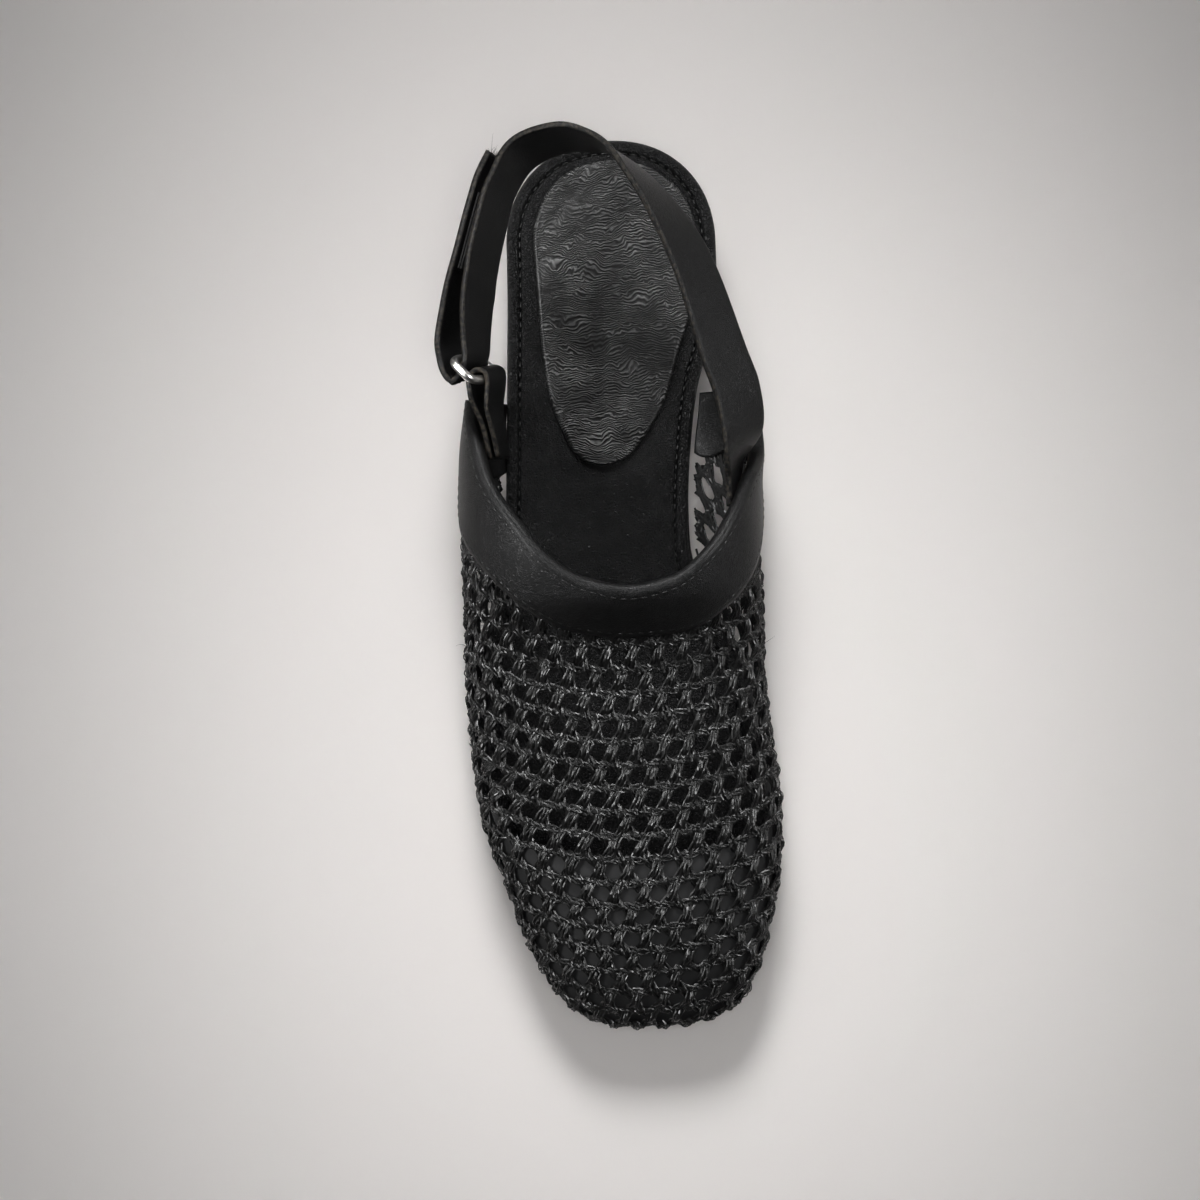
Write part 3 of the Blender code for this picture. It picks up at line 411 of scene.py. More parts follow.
def leather(name, dark, light, roughness, wrinkle, depth, coat=0.0):
    """Smooth leather: mottled colour, short wormy wrinkles of the given size, and fine pores between."""
    made, shader, _, place = mottled_finish(name, roughness, 140.0, dark, light, Specular_IOR_Level=0.28,
                                            Coat_Weight=coat, Coat_Roughness=0.35)
    bend = add_node(made, "ShaderNodeTexNoise", {"Vector": place, "Scale": 0.35 / wrinkle, "Detail": 2.0})
    bent = add_node(made, "ShaderNodeVectorMath", {0: bend.outputs["Color"], 1: (2.0 * wrinkle,) * 3},
                    operation="MULTIPLY")
    moved = add_node(made, "ShaderNodeVectorMath", {0: place, 1: bent.outputs["Vector"]}, operation="ADD")
    cells = add_node(made, "ShaderNodeTexVoronoi",
                     {"Vector": moved.outputs["Vector"], "Scale": 1.0 / wrinkle}, feature="DISTANCE_TO_EDGE")
    crease = add_node(made, "ShaderNodeMapRange", {"Value": cells.outputs["Distance"], "From Max": 0.22})
    pores = add_node(made, "ShaderNodeTexNoise", {"Vector": place, "Scale": 2.2 / wrinkle, "Detail": 3.0})
    height = add_node(made, "ShaderNodeMath", {0: pores.outputs["Fac"], 1: 0.6, 2: crease.outputs["Result"]},
                      operation="MULTIPLY_ADD")
    emboss(made, shader, height.outputs["Value"], 0.8, depth)
    rough = add_node(made, "ShaderNodeMapRange", {"Value": pores.outputs["Fac"], "To Min": roughness - 0.08,
                                                  "To Max": roughness + 0.10})
    made.node_tree.links.new(rough.outputs["Result"], shader.inputs["Roughness"])
    return made


def along_line(points, pitch):
    """Stations every pitch along a polyline: places, unit directions and distances."""
    reach = run_of(points)
    count = max(int(reach[-1] / pitch), 1)
    at = (np.arange(count) + 0.5) * reach[-1] / count
    place = read_line(at, reach, points)
    return place, normed(read_line(at + 0.2 * pitch, reach, points) - place), at


def stitch_row(name, points, normals, finish, length=STITCH_LENGTH, thread=THREAD):
    """A row of stitches on a line: each is a spindle, round across, half sunk at both of its ends."""
    place, way, at = along_line(points, STITCH_PITCH)
    up = read_line(at, run_of(points), normals)
    up = normed(up - way * np.sum(up * way, axis=1, keepdims=True))
    side = np.cross(way, up)
    t = np.linspace(-1.0, 1.0, 7)
    fat = 0.5 * thread * np.sqrt(np.maximum(1.0 - t ** 4, 0.0)) + 0.02 * thread
    sink = -0.55 * thread * t ** 4
    turn = np.linspace(0.0, 2.0 * math.pi, 7)[:-1]
    shape = (place[:, None, None, :] + way[:, None, None, :] * (t * length / 2.0)[None, :, None, None]
             + up[:, None, None, :] * (sink[:, None] + fat[:, None] * np.cos(turn)[None, :])[None, :, :, None]
             + side[:, None, None, :] * (fat[:, None] * np.sin(turn)[None, :])[None, :, :, None])
    one = grid_faces(7, 6, closed=True)
    caps = np.array(((5, 4, 1, 0), (4, 3, 2, 1), (36, 37, 40, 41), (37, 38, 39, 40)))
    one = np.concatenate((one, caps))
    faces = one[None, :, :] + (np.arange(len(place)) * 42)[:, None, None]
    return put_piece(name, shape, faces, finish)


smooth_leather = leather("smooth_leather", (0.009, 0.009, 0.0093), (0.017, 0.017, 0.0175), 0.46, 0.9 * MM,
                         0.0004)
RECESS = 1.0 - RECESS_DEPTH / BOARD_THICKNESS
footbed = ring_piece("footbed_wrap", BOARD_LOOP, [(d * MM, board_z(k)) for d, k in (
    (-9.0, 0.0), (-0.9, 0.0), (-0.25, 0.04), (0.0, 0.16), (0.0, 0.45), (-0.05, 0.64), (-0.22, 0.78),
    (-0.5, 0.89), (-0.9, 0.965), (-1.4, 1.0), (-2.0, 1.005), (-2.6, 0.985), (-3.05, 0.93), (-3.35, 0.83),
    (-3.5, 0.74), (-3.7, RECESS), (-4.4, RECESS), (-9.0, RECESS),
)], smooth_leather)
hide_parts("footbed")

# Sock
# A thin sheet of fine-grained black leather glued into the footbed's recess, its cut edge beside the
# stitched groove.
SOCK_THICKNESS = 1.0 * MM
SOCK_FLOOR = RECESS + CLEARANCE / BOARD_THICKNESS
SOCK_TOP = SOCK_FLOOR + SOCK_THICKNESS / BOARD_THICKNESS
sock_leather = leather("sock_leather", (0.010, 0.010, 0.0103), (0.018, 0.018, 0.0185), 0.50, 0.75 * MM,
                       0.0004)
sock_edge = RIM_WIDTH + CLEARANCE
sock = ring_piece("sock_leather", BOARD_LOOP, [(-sock_edge - d * MM, board_z(k)) for d, k in (
    (8.0, SOCK_FLOOR), (0.1, SOCK_FLOOR), (0.0, SOCK_FLOOR + 0.05), (0.05, SOCK_TOP - 0.06),
    (0.35, SOCK_TOP - 0.01), (0.8, SOCK_TOP), (8.0, SOCK_TOP),
)], sock_leather)
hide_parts("sock")

thread_black = mottled_finish("black_thread", 0.42, 900.0, (0.006,) * 3, (0.014,) * 3)[0]
groove = offset_loop(BOARD_LOOP, np.full(len(BOARD_LOOP), -RIM_WIDTH - 0.05 * MM))
groove_line = np.column_stack((groove, board_z(SOCK_TOP - 0.05)(BOARD_LOOP[:, 1])))
groove_line = np.concatenate((groove_line, groove_line[:1]))
rim_stitches = stitch_row("rim_stitches", groove_line, np.tile((0.0, 0.0, 1.0), (len(groove_line), 1)),
                          thread_black)

# Heel pad
# A tongue-shaped cushion of grained black leather glued on the sock, pressed with a line just inside
# its turned edge. Its colour paints highlights: the grain's ridge tops are light, the valleys near black.
PAD_THICKNESS = 1.9 * MM
PAD_MARGIN = 2.2 * MM
PAD_SOFT_WIDTH = 9.0 * MM
PAD_TURNED = 1.2 * MM
DENTS_FROM = 2.0 * MM
DENTS_OVER = 3.0 * MM
DENTS_SLANT = 0.12
# Columns: share of LENGTH, left and right edges as shares of HEEL_WIDTH from the middle line.
PAD_OUTLINE = np.array((
    (0.118, -0.372, 0.410), (0.175, -0.365, 0.385), (0.243, -0.352, 0.292), (0.291, -0.325, 0.222),
    (0.327, -0.271, 0.135), (0.342, -0.245, 0.084), (0.350, -0.224, 0.054), (0.357, -0.188, 0.020),
    (0.361, -0.152, -0.016), (0.363, -0.110, -0.058), (0.3634, -0.090, -0.080),
))


def pad_loop():
    """The pad's outline: the table's edges, closed round the heel by two superellipse quarters.

    Beside it goes a share for each point, small at the narrow tip, that keeps inner rings from crossing.
    """
    tip = PAD_OUTLINE[-1, 0]
    front = tip - (tip - HEEL_CENTRE) * (1.0 - np.cos(np.linspace(0.02, 0.5 * math.pi, 60)))
    swing = np.radians(np.linspace(1.5, 88.5, 34))
    centre = y_of(HEEL_CENTRE)
    back = HEEL_BACK - RIM_WIDTH - PAD_MARGIN
    halves = []
    for side in (1, 2):
        edge = HEEL_WIDTH * smooth(front, PAD_OUTLINE[:, 0], PAD_OUTLINE[:, side])
        straight = np.stack((edge, y_of(front)), axis=1)
        heel_x = edge[-1] * np.cos(swing) ** HEEL_ROUNDNESS
        heel_y = centre + (back - centre) * np.sin(swing) ** HEEL_ROUNDNESS
        halves.append(np.concatenate((straight, np.stack((heel_x, heel_y), axis=1))))
    loop = np.concatenate((halves[0], halves[1][::-1]))
    room = np.abs(loop - loop[::-1]).max(axis=1) / 2.0
    return loop, np.clip(room / PAD_SOFT_WIDTH, 0.0, 1.0)


def pad_ring(inwards, level):
    """One ring of the pad: its outline moved in by inwards, at a height over y.

    Near the edge the points move along the outline's normals, farther in towards the pad's spine.
    """
    ring = offset_loop(PAD_LOOP, -np.minimum(inwards, PAD_TURNED) * PAD_ROOM)
    tip = PAD_LOOP[:, 1].min() + PAD_SOFT_WIDTH
    spine = np.stack((0.5 * (PAD_LOOP[:, 0] + PAD_LOOP[::-1, 0]), np.clip(PAD_LOOP[:, 1], tip, 0.0)), axis=1)
    away = spine - ring
    distance = np.linalg.norm(away, axis=1, keepdims=True)
    ring = ring + away / distance * np.minimum(np.maximum(inwards - PAD_TURNED, 0.0), 0.9 * distance)
    soft = np.clip((inwards - DENTS_FROM) / DENTS_OVER, 0.0, 1.0)
    dents = 0.0
    for x, y, wide, long, depth in PAD_DENTS:
        ahead = ring[:, 1] - y - DENTS_SLANT * (ring[:, 0] - x)
        dents = dents + depth * np.exp(-((ring[:, 0] - x) / wide) ** 2 - (ahead / long) ** 2)
    return np.column_stack((ring, board_z(PAD_SEAT + level * PAD_SHARE)(ring[:, 1]) - soft * dents))


pad_leather, pad_shader = start_finish("grained_leather", 0.50, Coat_Weight=0.15, Coat_Roughness=0.30)
pad_place = add_node(pad_leather, "ShaderNodeTexCoord").outputs["Object"]
pad_drift = add_node(pad_leather, "ShaderNodeTexNoise", {"Vector": pad_place, "Scale": 90.0, "Detail": 1.0})
pad_bent = add_node(pad_leather, "ShaderNodeVectorMath",
                    {0: pad_drift.outputs["Color"], 1: (0.0065, 0.0075, 0.0), 2: pad_place},
                    operation="MULTIPLY_ADD")
pad_waves = add_node(pad_leather, "ShaderNodeTexWave",
                     {"Vector": pad_bent.outputs["Vector"], "Scale": 420.0, "Distortion": 18.0, "Detail": 2.0,
                      "Detail Scale": 0.55}, bands_direction="Y")
pad_patches = add_node(pad_leather, "ShaderNodeTexNoise",
                       {"Vector": pad_place, "Scale": 120.0, "Detail": 3.0})
# Patches where the ridges stand lower and their painted highlights are weaker.
pad_patch_strength = add_node(pad_leather, "ShaderNodeMapRange",
                    {"Value": pad_patches.outputs["Fac"], "From Min": 0.36, "From Max": 0.66, "To Min": 0.45,
                     "To Max": 1.0})
pad_ridges_and_glints = add_node(pad_leather, "ShaderNodeMath",
                      {0: pad_waves.outputs["Fac"], 1: pad_patch_strength.outputs["Result"]}, operation="MULTIPLY")
# Painted highlights: the ramp colours the ridge tops light, as glints on the grain, and the valleys near
# black.
colour_ramp(pad_leather, pad_shader, pad_ridges_and_glints.outputs["Value"], 0.42, (0.003,) * 3, 0.95,
            (0.17, 0.17, 0.168))
emboss(pad_leather, pad_shader, pad_ridges_and_glints.outputs["Value"], 1.0, 0.00022)
PAD_SEAT = SOCK_TOP + CLEARANCE / BOARD_THICKNESS
PAD_SHARE = PAD_THICKNESS / BOARD_THICKNESS
PAD_LOOP, PAD_ROOM = pad_loop()
# Soft dents. Columns: place x and y, half width, half length, depth, mm.
PAD_DENTS = np.array((
    (-9.5, 11.0, 11.0, 3.2, 0.75), (8.0, -16.0, 9.0, 12.0, 0.35), (-2.0, -38.0, 12.0, 5.0, 0.20),
)) * MM
PAD_RINGS = np.array((
    (5.0, 0.0), (0.2, 0.0), (0.0, 0.08), (0.0, 0.35), (0.15, 0.55), (0.45, 0.70), (0.85, 0.80),
    (1.2, 0.845), (1.45, 0.825), (1.7, 0.84), (2.0, 0.88), (2.8, 0.93), (3.8, 0.97), (5.0, 1.0), (6.5, 1.0),
    (8.0, 1.0), (9.5, 1.0), (11.0, 1.0), (12.5, 1.0), (14.0, 1.0), (16.0, 1.0), (18.0, 1.0), (20.0, 1.0),
))
heel_pad = put_piece("heel_cushion", np.concatenate([pad_ring(d * MM, k) for d, k in PAD_RINGS]),
                     ring_faces(len(PAD_LOOP), len(PAD_RINGS)), pad_leather)
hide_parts("heel_pad")

# Woven upper
# Black raffia worked by hand over the last into an open net of six-sided holes: cords of thin flat
# fibres run across and along two diagonals, over and under each other, down to the sole all round.
TOE_DROP = 13.0 * MM
TOE_LOWERING = 0.26
SECTION_STEPS = 56
NET_PITCH = 8.0 * MM
NET_ROW = 6.6 * MM
NET_BOW = 5.0
NET_PLACE = (-0.5 * MM, 1.1 * MM)
NET_NARROWING = 0.11
NARROWED_FROM = 5.0 * MM
NARROWED_OVER = 25.0 * MM
MAP_STEP = 0.8 * MM
CROWN_POWER = 2.2
TOE_POWER = 1.3
FOOT_SHARE = 0.985
NET_STOP = 0.3 * MM
WING_STOP = 0.5 * MM
FIBRE_THICK = 0.15 * MM
FIBRE_SINK = 0.55 * MM
# What a fibre's curl about its cord does: aside as share of the spread, up, and to its tilt in radians.
CURL_ASIDE, CURL_UP, CURL_TILT = 0.32, 0.40 * MM, 0.6
# Random sway of a fibre: size and wavelength, for its place aside, its height and its tilt in radians.
SWAY_ASIDE, SWAY_UP, SWAY_TILT = (0.26 * MM, 9.0 * MM), (0.18 * MM, 6.0 * MM), (0.30, 8.0 * MM)

# Cross-sections of the upper. Columns: share of LENGTH, half widths of the lateral and medial side as
# shares of UPPER_WIDTH, heights of the widest point and of the ridge as shares of INSTEP_HEIGHT.
SECTIONS = np.array((
    (0.287, 0.475, 0.447, 0.588, 1.000), (0.347, 0.506, 0.442, 0.544, 0.997),
    (0.399, 0.520, 0.428, 0.500, 0.985), (0.459, 0.539, 0.431, 0.456, 0.962),
    (0.507, 0.542, 0.436, 0.420, 0.912), (0.554, 0.546, 0.437, 0.390, 0.772),
    (0.598, 0.551, 0.432, 0.368, 0.706), (0.678, 0.546, 0.448, 0.331, 0.644),
    (0.738, 0.531, 0.467, 0.309, 0.603), (0.786, 0.500, 0.465, 0.297, 0.578),
    (0.822, 0.462, 0.454, 0.287, 0.559),
))
# Edges of the collar on the unrolled upper. Columns: top edge's distance round from the ridge (share of
# UPPER_WIDTH, lateral negative) and share of LENGTH, then the same for the lower edge.
COLLAR_EDGES = np.array((
    (-0.635, 0.289, -0.825, 0.289), (-0.535, 0.335, -0.755, 0.351), (-0.468, 0.382, -0.695, 0.408),
    (-0.360, 0.427, -0.490, 0.476), (-0.270, 0.464, -0.325, 0.521), (-0.145, 0.493, -0.158, 0.547),
    (0.000, 0.504, 0.000, 0.555), (0.130, 0.497, 0.160, 0.551), (0.270, 0.465, 0.312, 0.527),
    (0.389, 0.422, 0.500, 0.478), (0.490, 0.388, 0.660, 0.410), (0.650, 0.357, 0.775, 0.357),
    (0.745, 0.289, 0.850, 0.289),
))


def upper_sections(a, b):
    """Sizes of the cross-section through the unrolled point (a, b).

    a runs round the upper from its ridge, b back from the toe's centre. The sections are planes behind that
    centre and a fan ahead of it.
    """
    behind = b >= 0.0
    y = np.where(behind, y_of(TOE_CENTRE) + b, y_of(TOE_CENTRE))
    along = along_of(y)
    rows = SECTIONS[:, 0]
    lateral = a < 0.0
    half = UPPER_WIDTH * np.where(lateral, smooth(along, rows, SECTIONS[:, 1]),
                                  smooth(along, rows, SECTIONS[:, 2]))
    board = np.where(lateral, board_half(y, 1), board_half(y, 2))
    widest = INSTEP_HEIGHT * smooth(along, rows, SECTIONS[:, 3])
    ridge = INSTEP_HEIGHT * smooth(along, rows, SECTIONS[:, 4])
    turn = np.where(behind, np.where(lateral, -0.5, 0.5) * math.pi, np.arctan2(a, np.maximum(-b, 1e-9)))
    ahead = np.where(behind, 0.0, np.cos(turn))
    half = np.where(behind, half, toe_reach(turn))
    board = np.where(behind, board, half - toe_tuck(turn))
    widest = widest * (1.0 - TOE_LOWERING * ahead)
    foot = np.minimum(board + CLEARANCE + VAMP_WALL, FOOT_SHARE * half)
    bottom = sole_top(np.where(behind, y, y - foot * ahead)) + CLEARANCE
    power = CROWN_POWER + TOE_POWER * ahead ** 2
    return y, turn, ahead, half, foot, widest, bottom, ridge, power, TOE_DROP * ahead


def section_curve(half, foot, widest, bottom, ridge, power, drop):
    """Each section from the ridge down: a superellipse to the widest point, an ellipse tucked in below it."""
    turn = np.linspace(0.0, 0.5 * math.pi, SECTION_STEPS)[None, :]
    share = np.sin(turn) ** (2.0 / power[:, None])
    crown = ridge[:, None] - drop[:, None] * (0.5 * share + 0.5 * share ** 2)
    lift = np.maximum(np.cos(turn), 0.0) ** (2.0 / power[:, None])
    end = math.pi - np.arcsin(np.clip(foot / half, 0.0, 1.0))
    low = 0.5 * math.pi + (end[:, None] - 0.5 * math.pi) * np.linspace(0.0, 1.0, SECTION_STEPS)[None, 1:]
    depth = (widest - bottom) / np.maximum(-np.cos(end), 1e-6)
    r = np.concatenate((half[:, None] * share, half[:, None] * np.sin(low)), axis=1)
    z = np.concatenate((widest[:, None] + (crown - widest[:, None]) * lift,
                        widest[:, None] + depth[:, None] * np.cos(low)), axis=1)
    length = np.cumsum(np.hypot(np.diff(r, axis=1), np.diff(z, axis=1)), axis=1)
    return r, z, np.concatenate((np.zeros((len(r), 1)), length), axis=1)


def upper_point(a, b):
    """Point of the outer surface at (a, b): the section's curve read at the distance from the ridge."""
    y, turn, ahead, half, foot, widest, bottom, ridge, power, drop = upper_sections(a, b)
    r, z, length = section_curve(half, foot, widest, bottom, ridge, power, drop)
    distance = np.minimum(np.where(b >= 0.0, np.abs(a), np.hypot(a, b)), length[:, -1])
    i = np.clip((length < distance[:, None]).sum(axis=1) - 1, 0, length.shape[1] - 2)
    row = np.arange(len(a))
    t = (distance - length[row, i]) / np.maximum(length[row, i + 1] - length[row, i], 1e-12)
    reach = r[row, i] + t * (r[row, i + 1] - r[row, i])
    height = z[row, i] + t * (z[row, i + 1] - z[row, i])
    return np.stack((reach * np.sin(turn), y - reach * ahead, height), axis=1)


def feather(a, b):
    """Unrolled distance towards (a, b) from the ridge to the feather edge, where the upper meets the sole."""
    _, _, _, half, foot, widest, bottom, ridge, power, drop = upper_sections(a, b)
    return section_curve(half, foot, widest, bottom, ridge, power, drop)[2][:, -1]


MAP_A = np.arange(-104.0 * MM, 104.1 * MM, MAP_STEP)
MAP_B = np.arange(-80.0 * MM, 136.1 * MM, MAP_STEP)


def build_map():
    """Points, normals and feather distances on a fine grid of (a, b), so that long cords are cheap to lay."""
    b, a = np.meshgrid(MAP_B, MAP_A, indexing="ij")
    flat_a, flat_b = a.ravel(), b.ravel()
    points = upper_point(flat_a, flat_b).reshape(*a.shape, 3)
    edge = feather(flat_a, flat_b).reshape(a.shape)
    return points, normed(np.cross(np.gradient(points, axis=1), np.gradient(points, axis=0))), edge


UPPER_MAP, UPPER_NORMAL, UPPER_EDGE = build_map()


def read_map(table, a, b):
    """A table of the map read at (a, b) by mixing the four neighbours."""
    u = np.clip((a - MAP_A[0]) / MAP_STEP, 0.0, len(MAP_A) - 1.001)
    v = np.clip((b - MAP_B[0]) / MAP_STEP, 0.0, len(MAP_B) - 1.001)
    i, j = v.astype(int), u.astype(int)
    s, t = v - i, u - j
    if table.ndim == 3:
        s, t = s[..., None], t[..., None]
    return ((table[i, j] * (1.0 - t) + table[i, j + 1] * t) * (1.0 - s)
            + (table[i + 1, j] * (1.0 - t) + table[i + 1, j + 1] * t) * s)


def drape(a, b, proud):
    """The unrolled place (a, b) on the upper, moved out by proud along the surface's normal."""
    return read_map(UPPER_MAP, a, b) + normed(read_map(UPPER_NORMAL, a, b)) * np.asarray(proud)[..., None]


def collar_edge(column, count):
    """An edge of the collar on the unrolled upper, the table's rows joined smoothly; column 0 top, 2 low."""
    rows = np.linspace(0.0, 1.0, len(COLLAR_EDGES))
    t = np.linspace(0.0, 1.0, count)
    back = y_of(COLLAR_EDGES[:, column + 1]) - y_of(TOE_CENTRE)
    return np.stack((smooth(t, rows, COLLAR_EDGES[:, column] * UPPER_WIDTH), smooth(t, rows, back)), axis=1)


THROAT = 0.55 * collar_edge(0, 161) + 0.45 * collar_edge(2, 161)
WING_END = float(y_of(SECTIONS[0, 0]) - y_of(TOE_CENTRE))


def on_net(a, b):
    """Where there is net: inside the feather edge, below the collar's middle, ahead of the wings' ends."""
    reach = np.where(b >= 0.0, np.abs(a), np.hypot(a, b))
    below = reach < read_map(UPPER_EDGE, a, b) - NET_STOP
    throat_b = np.interp(a, THROAT[:, 0], THROAT[:, 1], left=9.0, right=9.0)
    return below & (b < throat_b) & (b < WING_END - WING_STOP)


def bow(x, v):
    """Place of the net's own coordinates on the unrolled upper: rows bow back by the square of the distance.

    Behind the toe the columns draw together, by a smooth step from v = NARROWED_FROM on.
    """
    t = np.clip((v - NARROWED_FROM) / NARROWED_OVER, 0.0, 1.0)
    a = NET_PLACE[0] + x * (1.0 - NET_NARROWING * t * t * (3.0 - 2.0 * t))
    return a, NET_PLACE[1] + v + NET_BOW * a ** 2


def wander(rng, count, s, size, length):
    """Slow random sway for each of count fibres along s: three sines of random phase and wavelength."""
    total = np.zeros((count, len(s)))
    for share in (1.0, 0.55, 0.3):
        wave = length * share * rng.uniform(0.7, 1.3, (count, 1))
        total += share * np.sin(2.0 * math.pi * s[None, :] / wave + rng.uniform(0.0, 6.283, (count, 1)))
    return size * total / 1.85


def lay_cords(name, rng, starts, way, s, fibres, spread, twist, curl, sway, width, weave, finish):
    """Cords of fibres along one direction of the net.

    Each fibre is a flat diamond strip that follows its cord's straight line in the net's coordinates. It
    sways by sway, twists about the cord by curl, rises and sinks with the weave, ends at the net's border.
    """
    unit = normed(np.asarray(way))
    across = np.array((-unit[1], unit[0]))
    cords = len(starts)
    count = cords * fibres
    slot_of = np.tile(np.linspace(-0.5, 0.5, fibres) if fibres > 1 else np.zeros(1), cords)[:, None]
    phase = rng.uniform(0.0, 6.283, (cords, 1)).repeat(fibres, axis=0)
    spin = phase + 2.0 * math.pi * slot_of + 2.0 * math.pi * s[None, :] / twist
    aside = spread * ((1.0 - 0.5 * curl) * slot_of + CURL_ASIDE * curl * np.cos(spin))
    aside = aside + wander(rng, count, s, SWAY_ASIDE[0] * sway, SWAY_ASIDE[1])
    lift = weave(s)[None, :] + CURL_UP * curl * np.sin(spin)
    lift = lift + wander(rng, count, s, SWAY_UP[0] * sway, SWAY_UP[1])
    origin = np.repeat(np.asarray(starts), fibres, axis=0)
    x = origin[:, :1] + unit[0] * s[None, :] + across[0] * aside
    v = origin[:, 1:] + unit[1] * s[None, :] + across[1] * aside
    a, b = bow(x, v)
    inside = on_net(a, b)
    middle = drape(a, b, lift - FIBRE_SINK)
    ahead = normed(np.gradient(middle, axis=1))
    tilt = CURL_TILT * curl * np.cos(spin) + wander(rng, count, s, SWAY_TILT[0] * sway, SWAY_TILT[1])
    tilt = tilt[..., None]
    side = normed(np.cross(ahead, read_map(UPPER_NORMAL, a, b)))
    up = np.cross(side, ahead)
    flat = side * np.cos(tilt) + up * np.sin(tilt)
    flat = flat * (rng.uniform(0.8, 1.25, (count, 1)) * width * MM / 2.0)[..., None]
    tall = (up * np.cos(tilt) - side * np.sin(tilt)) * FIBRE_THICK
    ring = np.stack((middle + flat, middle + tall, middle - flat, middle - tall), axis=2)
    run = inside[:, :-1] & inside[:, 1:]
    number = np.arange(count * len(s)).reshape(count, len(s))
    first, second = number[:, :-1][run], number[:, 1:][run]
    k = np.arange(4)
    sides = np.stack((first[:, None] * 4 + k, first[:, None] * 4 + (k + 1) % 4,
                      second[:, None] * 4 + (k + 1) % 4, second[:, None] * 4 + k), axis=-1).reshape(-1, 4)
    padded = np.pad(run, ((0, 0), (1, 1)))
    begins = number[padded[:, 1:] & ~padded[:, :-1]]
    ends = number[padded[:, :-1] & ~padded[:, 1:]]
    caps = np.concatenate((begins[:, None] * 4 + k[::-1], ends[:, None] * 4 + k))
    faces = np.concatenate((sides, caps))
    used = np.unique(faces)
    renumber = np.zeros(count * len(s) * 4, dtype=np.int64)
    renumber[used] = np.arange(len(used))
    points = ring.reshape(-1, 3)[used]
    along = np.broadcast_to((s[None, :, None] + 0.31 * np.arange(count)[:, None, None]), (count, len(s), 4))
    round_it = np.broadcast_to(np.array((0.0, 0.5, 1.0, 0.5)) * 0.5 * MM, (count, len(s), 4))
    uv = np.stack((along, round_it), axis=-1).reshape(-1, 2)[used]
    laid = put_piece(name, points, renumber[faces], finish, uv)
    laid.data.shade_flat()
    return laid


raffia, raffia_shader = start_finish("woven_raffia", 0.40, Coat_Weight=0.3, Coat_Roughness=0.26)
fibre_uv = add_node(raffia, "ShaderNodeTexCoord").outputs["UV"]
fibre_map = add_node(raffia, "ShaderNodeMapping", {"Vector": fibre_uv, "Scale": (60.0, 5000.0, 1.0)})
fibre_noise = add_node(raffia, "ShaderNodeTexNoise",
                       {"Vector": fibre_map.outputs["Vector"], "Scale": 3.0, "Detail": 3.0})
colour_ramp(raffia, raffia_shader, fibre_noise.outputs["Fac"], 0.35, (0.002,) * 3, 0.75,
            (0.022, 0.022, 0.0215))
emboss(raffia, raffia_shader, fibre_noise.outputs["Fac"], 0.6, 0.00012)

rng = np.random.default_rng(7)
diagonal = math.hypot(NET_PITCH / 2.0, NET_ROW)
ROW_STARTS = [(0.0, (j + 0.5) * NET_ROW) for j in range(-12, 24)]
SLANT_STARTS = [((i + 0.5) * NET_PITCH, 0.0) for i in range(-26, 26)]
KNOT_STARTS = [((i + 0.5 + 0.5 * (j % 2)) * NET_PITCH, j * NET_ROW)
               for j in range(-12, 24) for i in range(-13, 13)]
ROW_WAY = (1.0, 0.0)
RIGHT_WAY = (NET_PITCH / 2.0, NET_ROW)
LEFT_WAY = (-NET_PITCH / 2.0, NET_ROW)


def row_weave(s):
    """Rise and fall of a cross cord: a cosine of the net's pitch."""
    return 0.35 * MM * np.cos(2.0 * math.pi * (s / NET_PITCH - 0.75))


def right_weave(s):
    """Rise and fall of the cords that slant to the right: a cosine of the cell's diagonal."""
    return 0.40 * MM * np.cos(2.0 * math.pi * s / diagonal) + 0.15 * MM


def left_weave(s):
    """The same for the cords that slant to the left, lower."""
    return -0.35 * MM * np.cos(2.0 * math.pi * s / diagonal) - 0.1 * MM


def core_weave(s):
    """The cores lie level under the fibres; their near-black colour is painted shade between the fibres."""
    return 0.0 * s - 0.45 * MM


def knot_arch(s):
    """A loop over the crossing: an arch that sinks at both of its ends."""
    return 0.95 * MM - 0.22 * MM * (s / (1.2 * MM)) ** 2


# The cores: matt strips darker than the raffia, painted shade in the gaps between the fibres.
shade_core = mottled_finish("raffia_core_painted_shade", 0.8, 1200.0, (0.0015,) * 3, (0.004,) * 3)[0]
# Columns: name, starts, direction, stations from, to and step mm, fibres, spread mm, twist mm, curl, sway,
# fibre width mm, weave, material.
CORDS = (
    ("cross_shade_cores", ROW_STARTS, ROW_WAY, (-112, 112, 2.0), 1, 0.0, 9.0, 0.0, 0.4, 1.6, core_weave, shade_core),
    ("cross_cords", ROW_STARTS, ROW_WAY, (-112, 112, 1.2), 4, 1.9, 7.0, 0.7, 1.2, 0.66, row_weave, raffia),
    ("cross_wraps", ROW_STARTS, ROW_WAY, (-112, 112, 0.9), 2, 2.3, 4.0, 1.2, 1.2, 0.60, row_weave, raffia),
    ("right_shade_cores", SLANT_STARTS, RIGHT_WAY, (-122, 198, 2.0), 1, 0.0, 9.0, 0.0, 0.3, 1.4, core_weave, shade_core),
    ("right_strands", SLANT_STARTS, RIGHT_WAY, (-122, 198, 1.5), 3, 2.1, 9.0, 0.0, 0.7, 0.72, right_weave,
     raffia),
    ("left_shade_cores", SLANT_STARTS, LEFT_WAY, (-122, 198, 2.0), 1, 0.0, 9.0, 0.0, 0.3, 1.4, core_weave, shade_core),
    ("left_cords", SLANT_STARTS, LEFT_WAY, (-122, 198, 1.15), 3, 2.1, 7.0, 0.6, 1.1, 0.68, left_weave,
     raffia),
    ("knots", KNOT_STARTS, (0.30, 1.0), (-2.9, 3.0, 0.8), 3, 2.0, 9.0, 0.3, 1.4, 0.62, knot_arch, raffia),
)
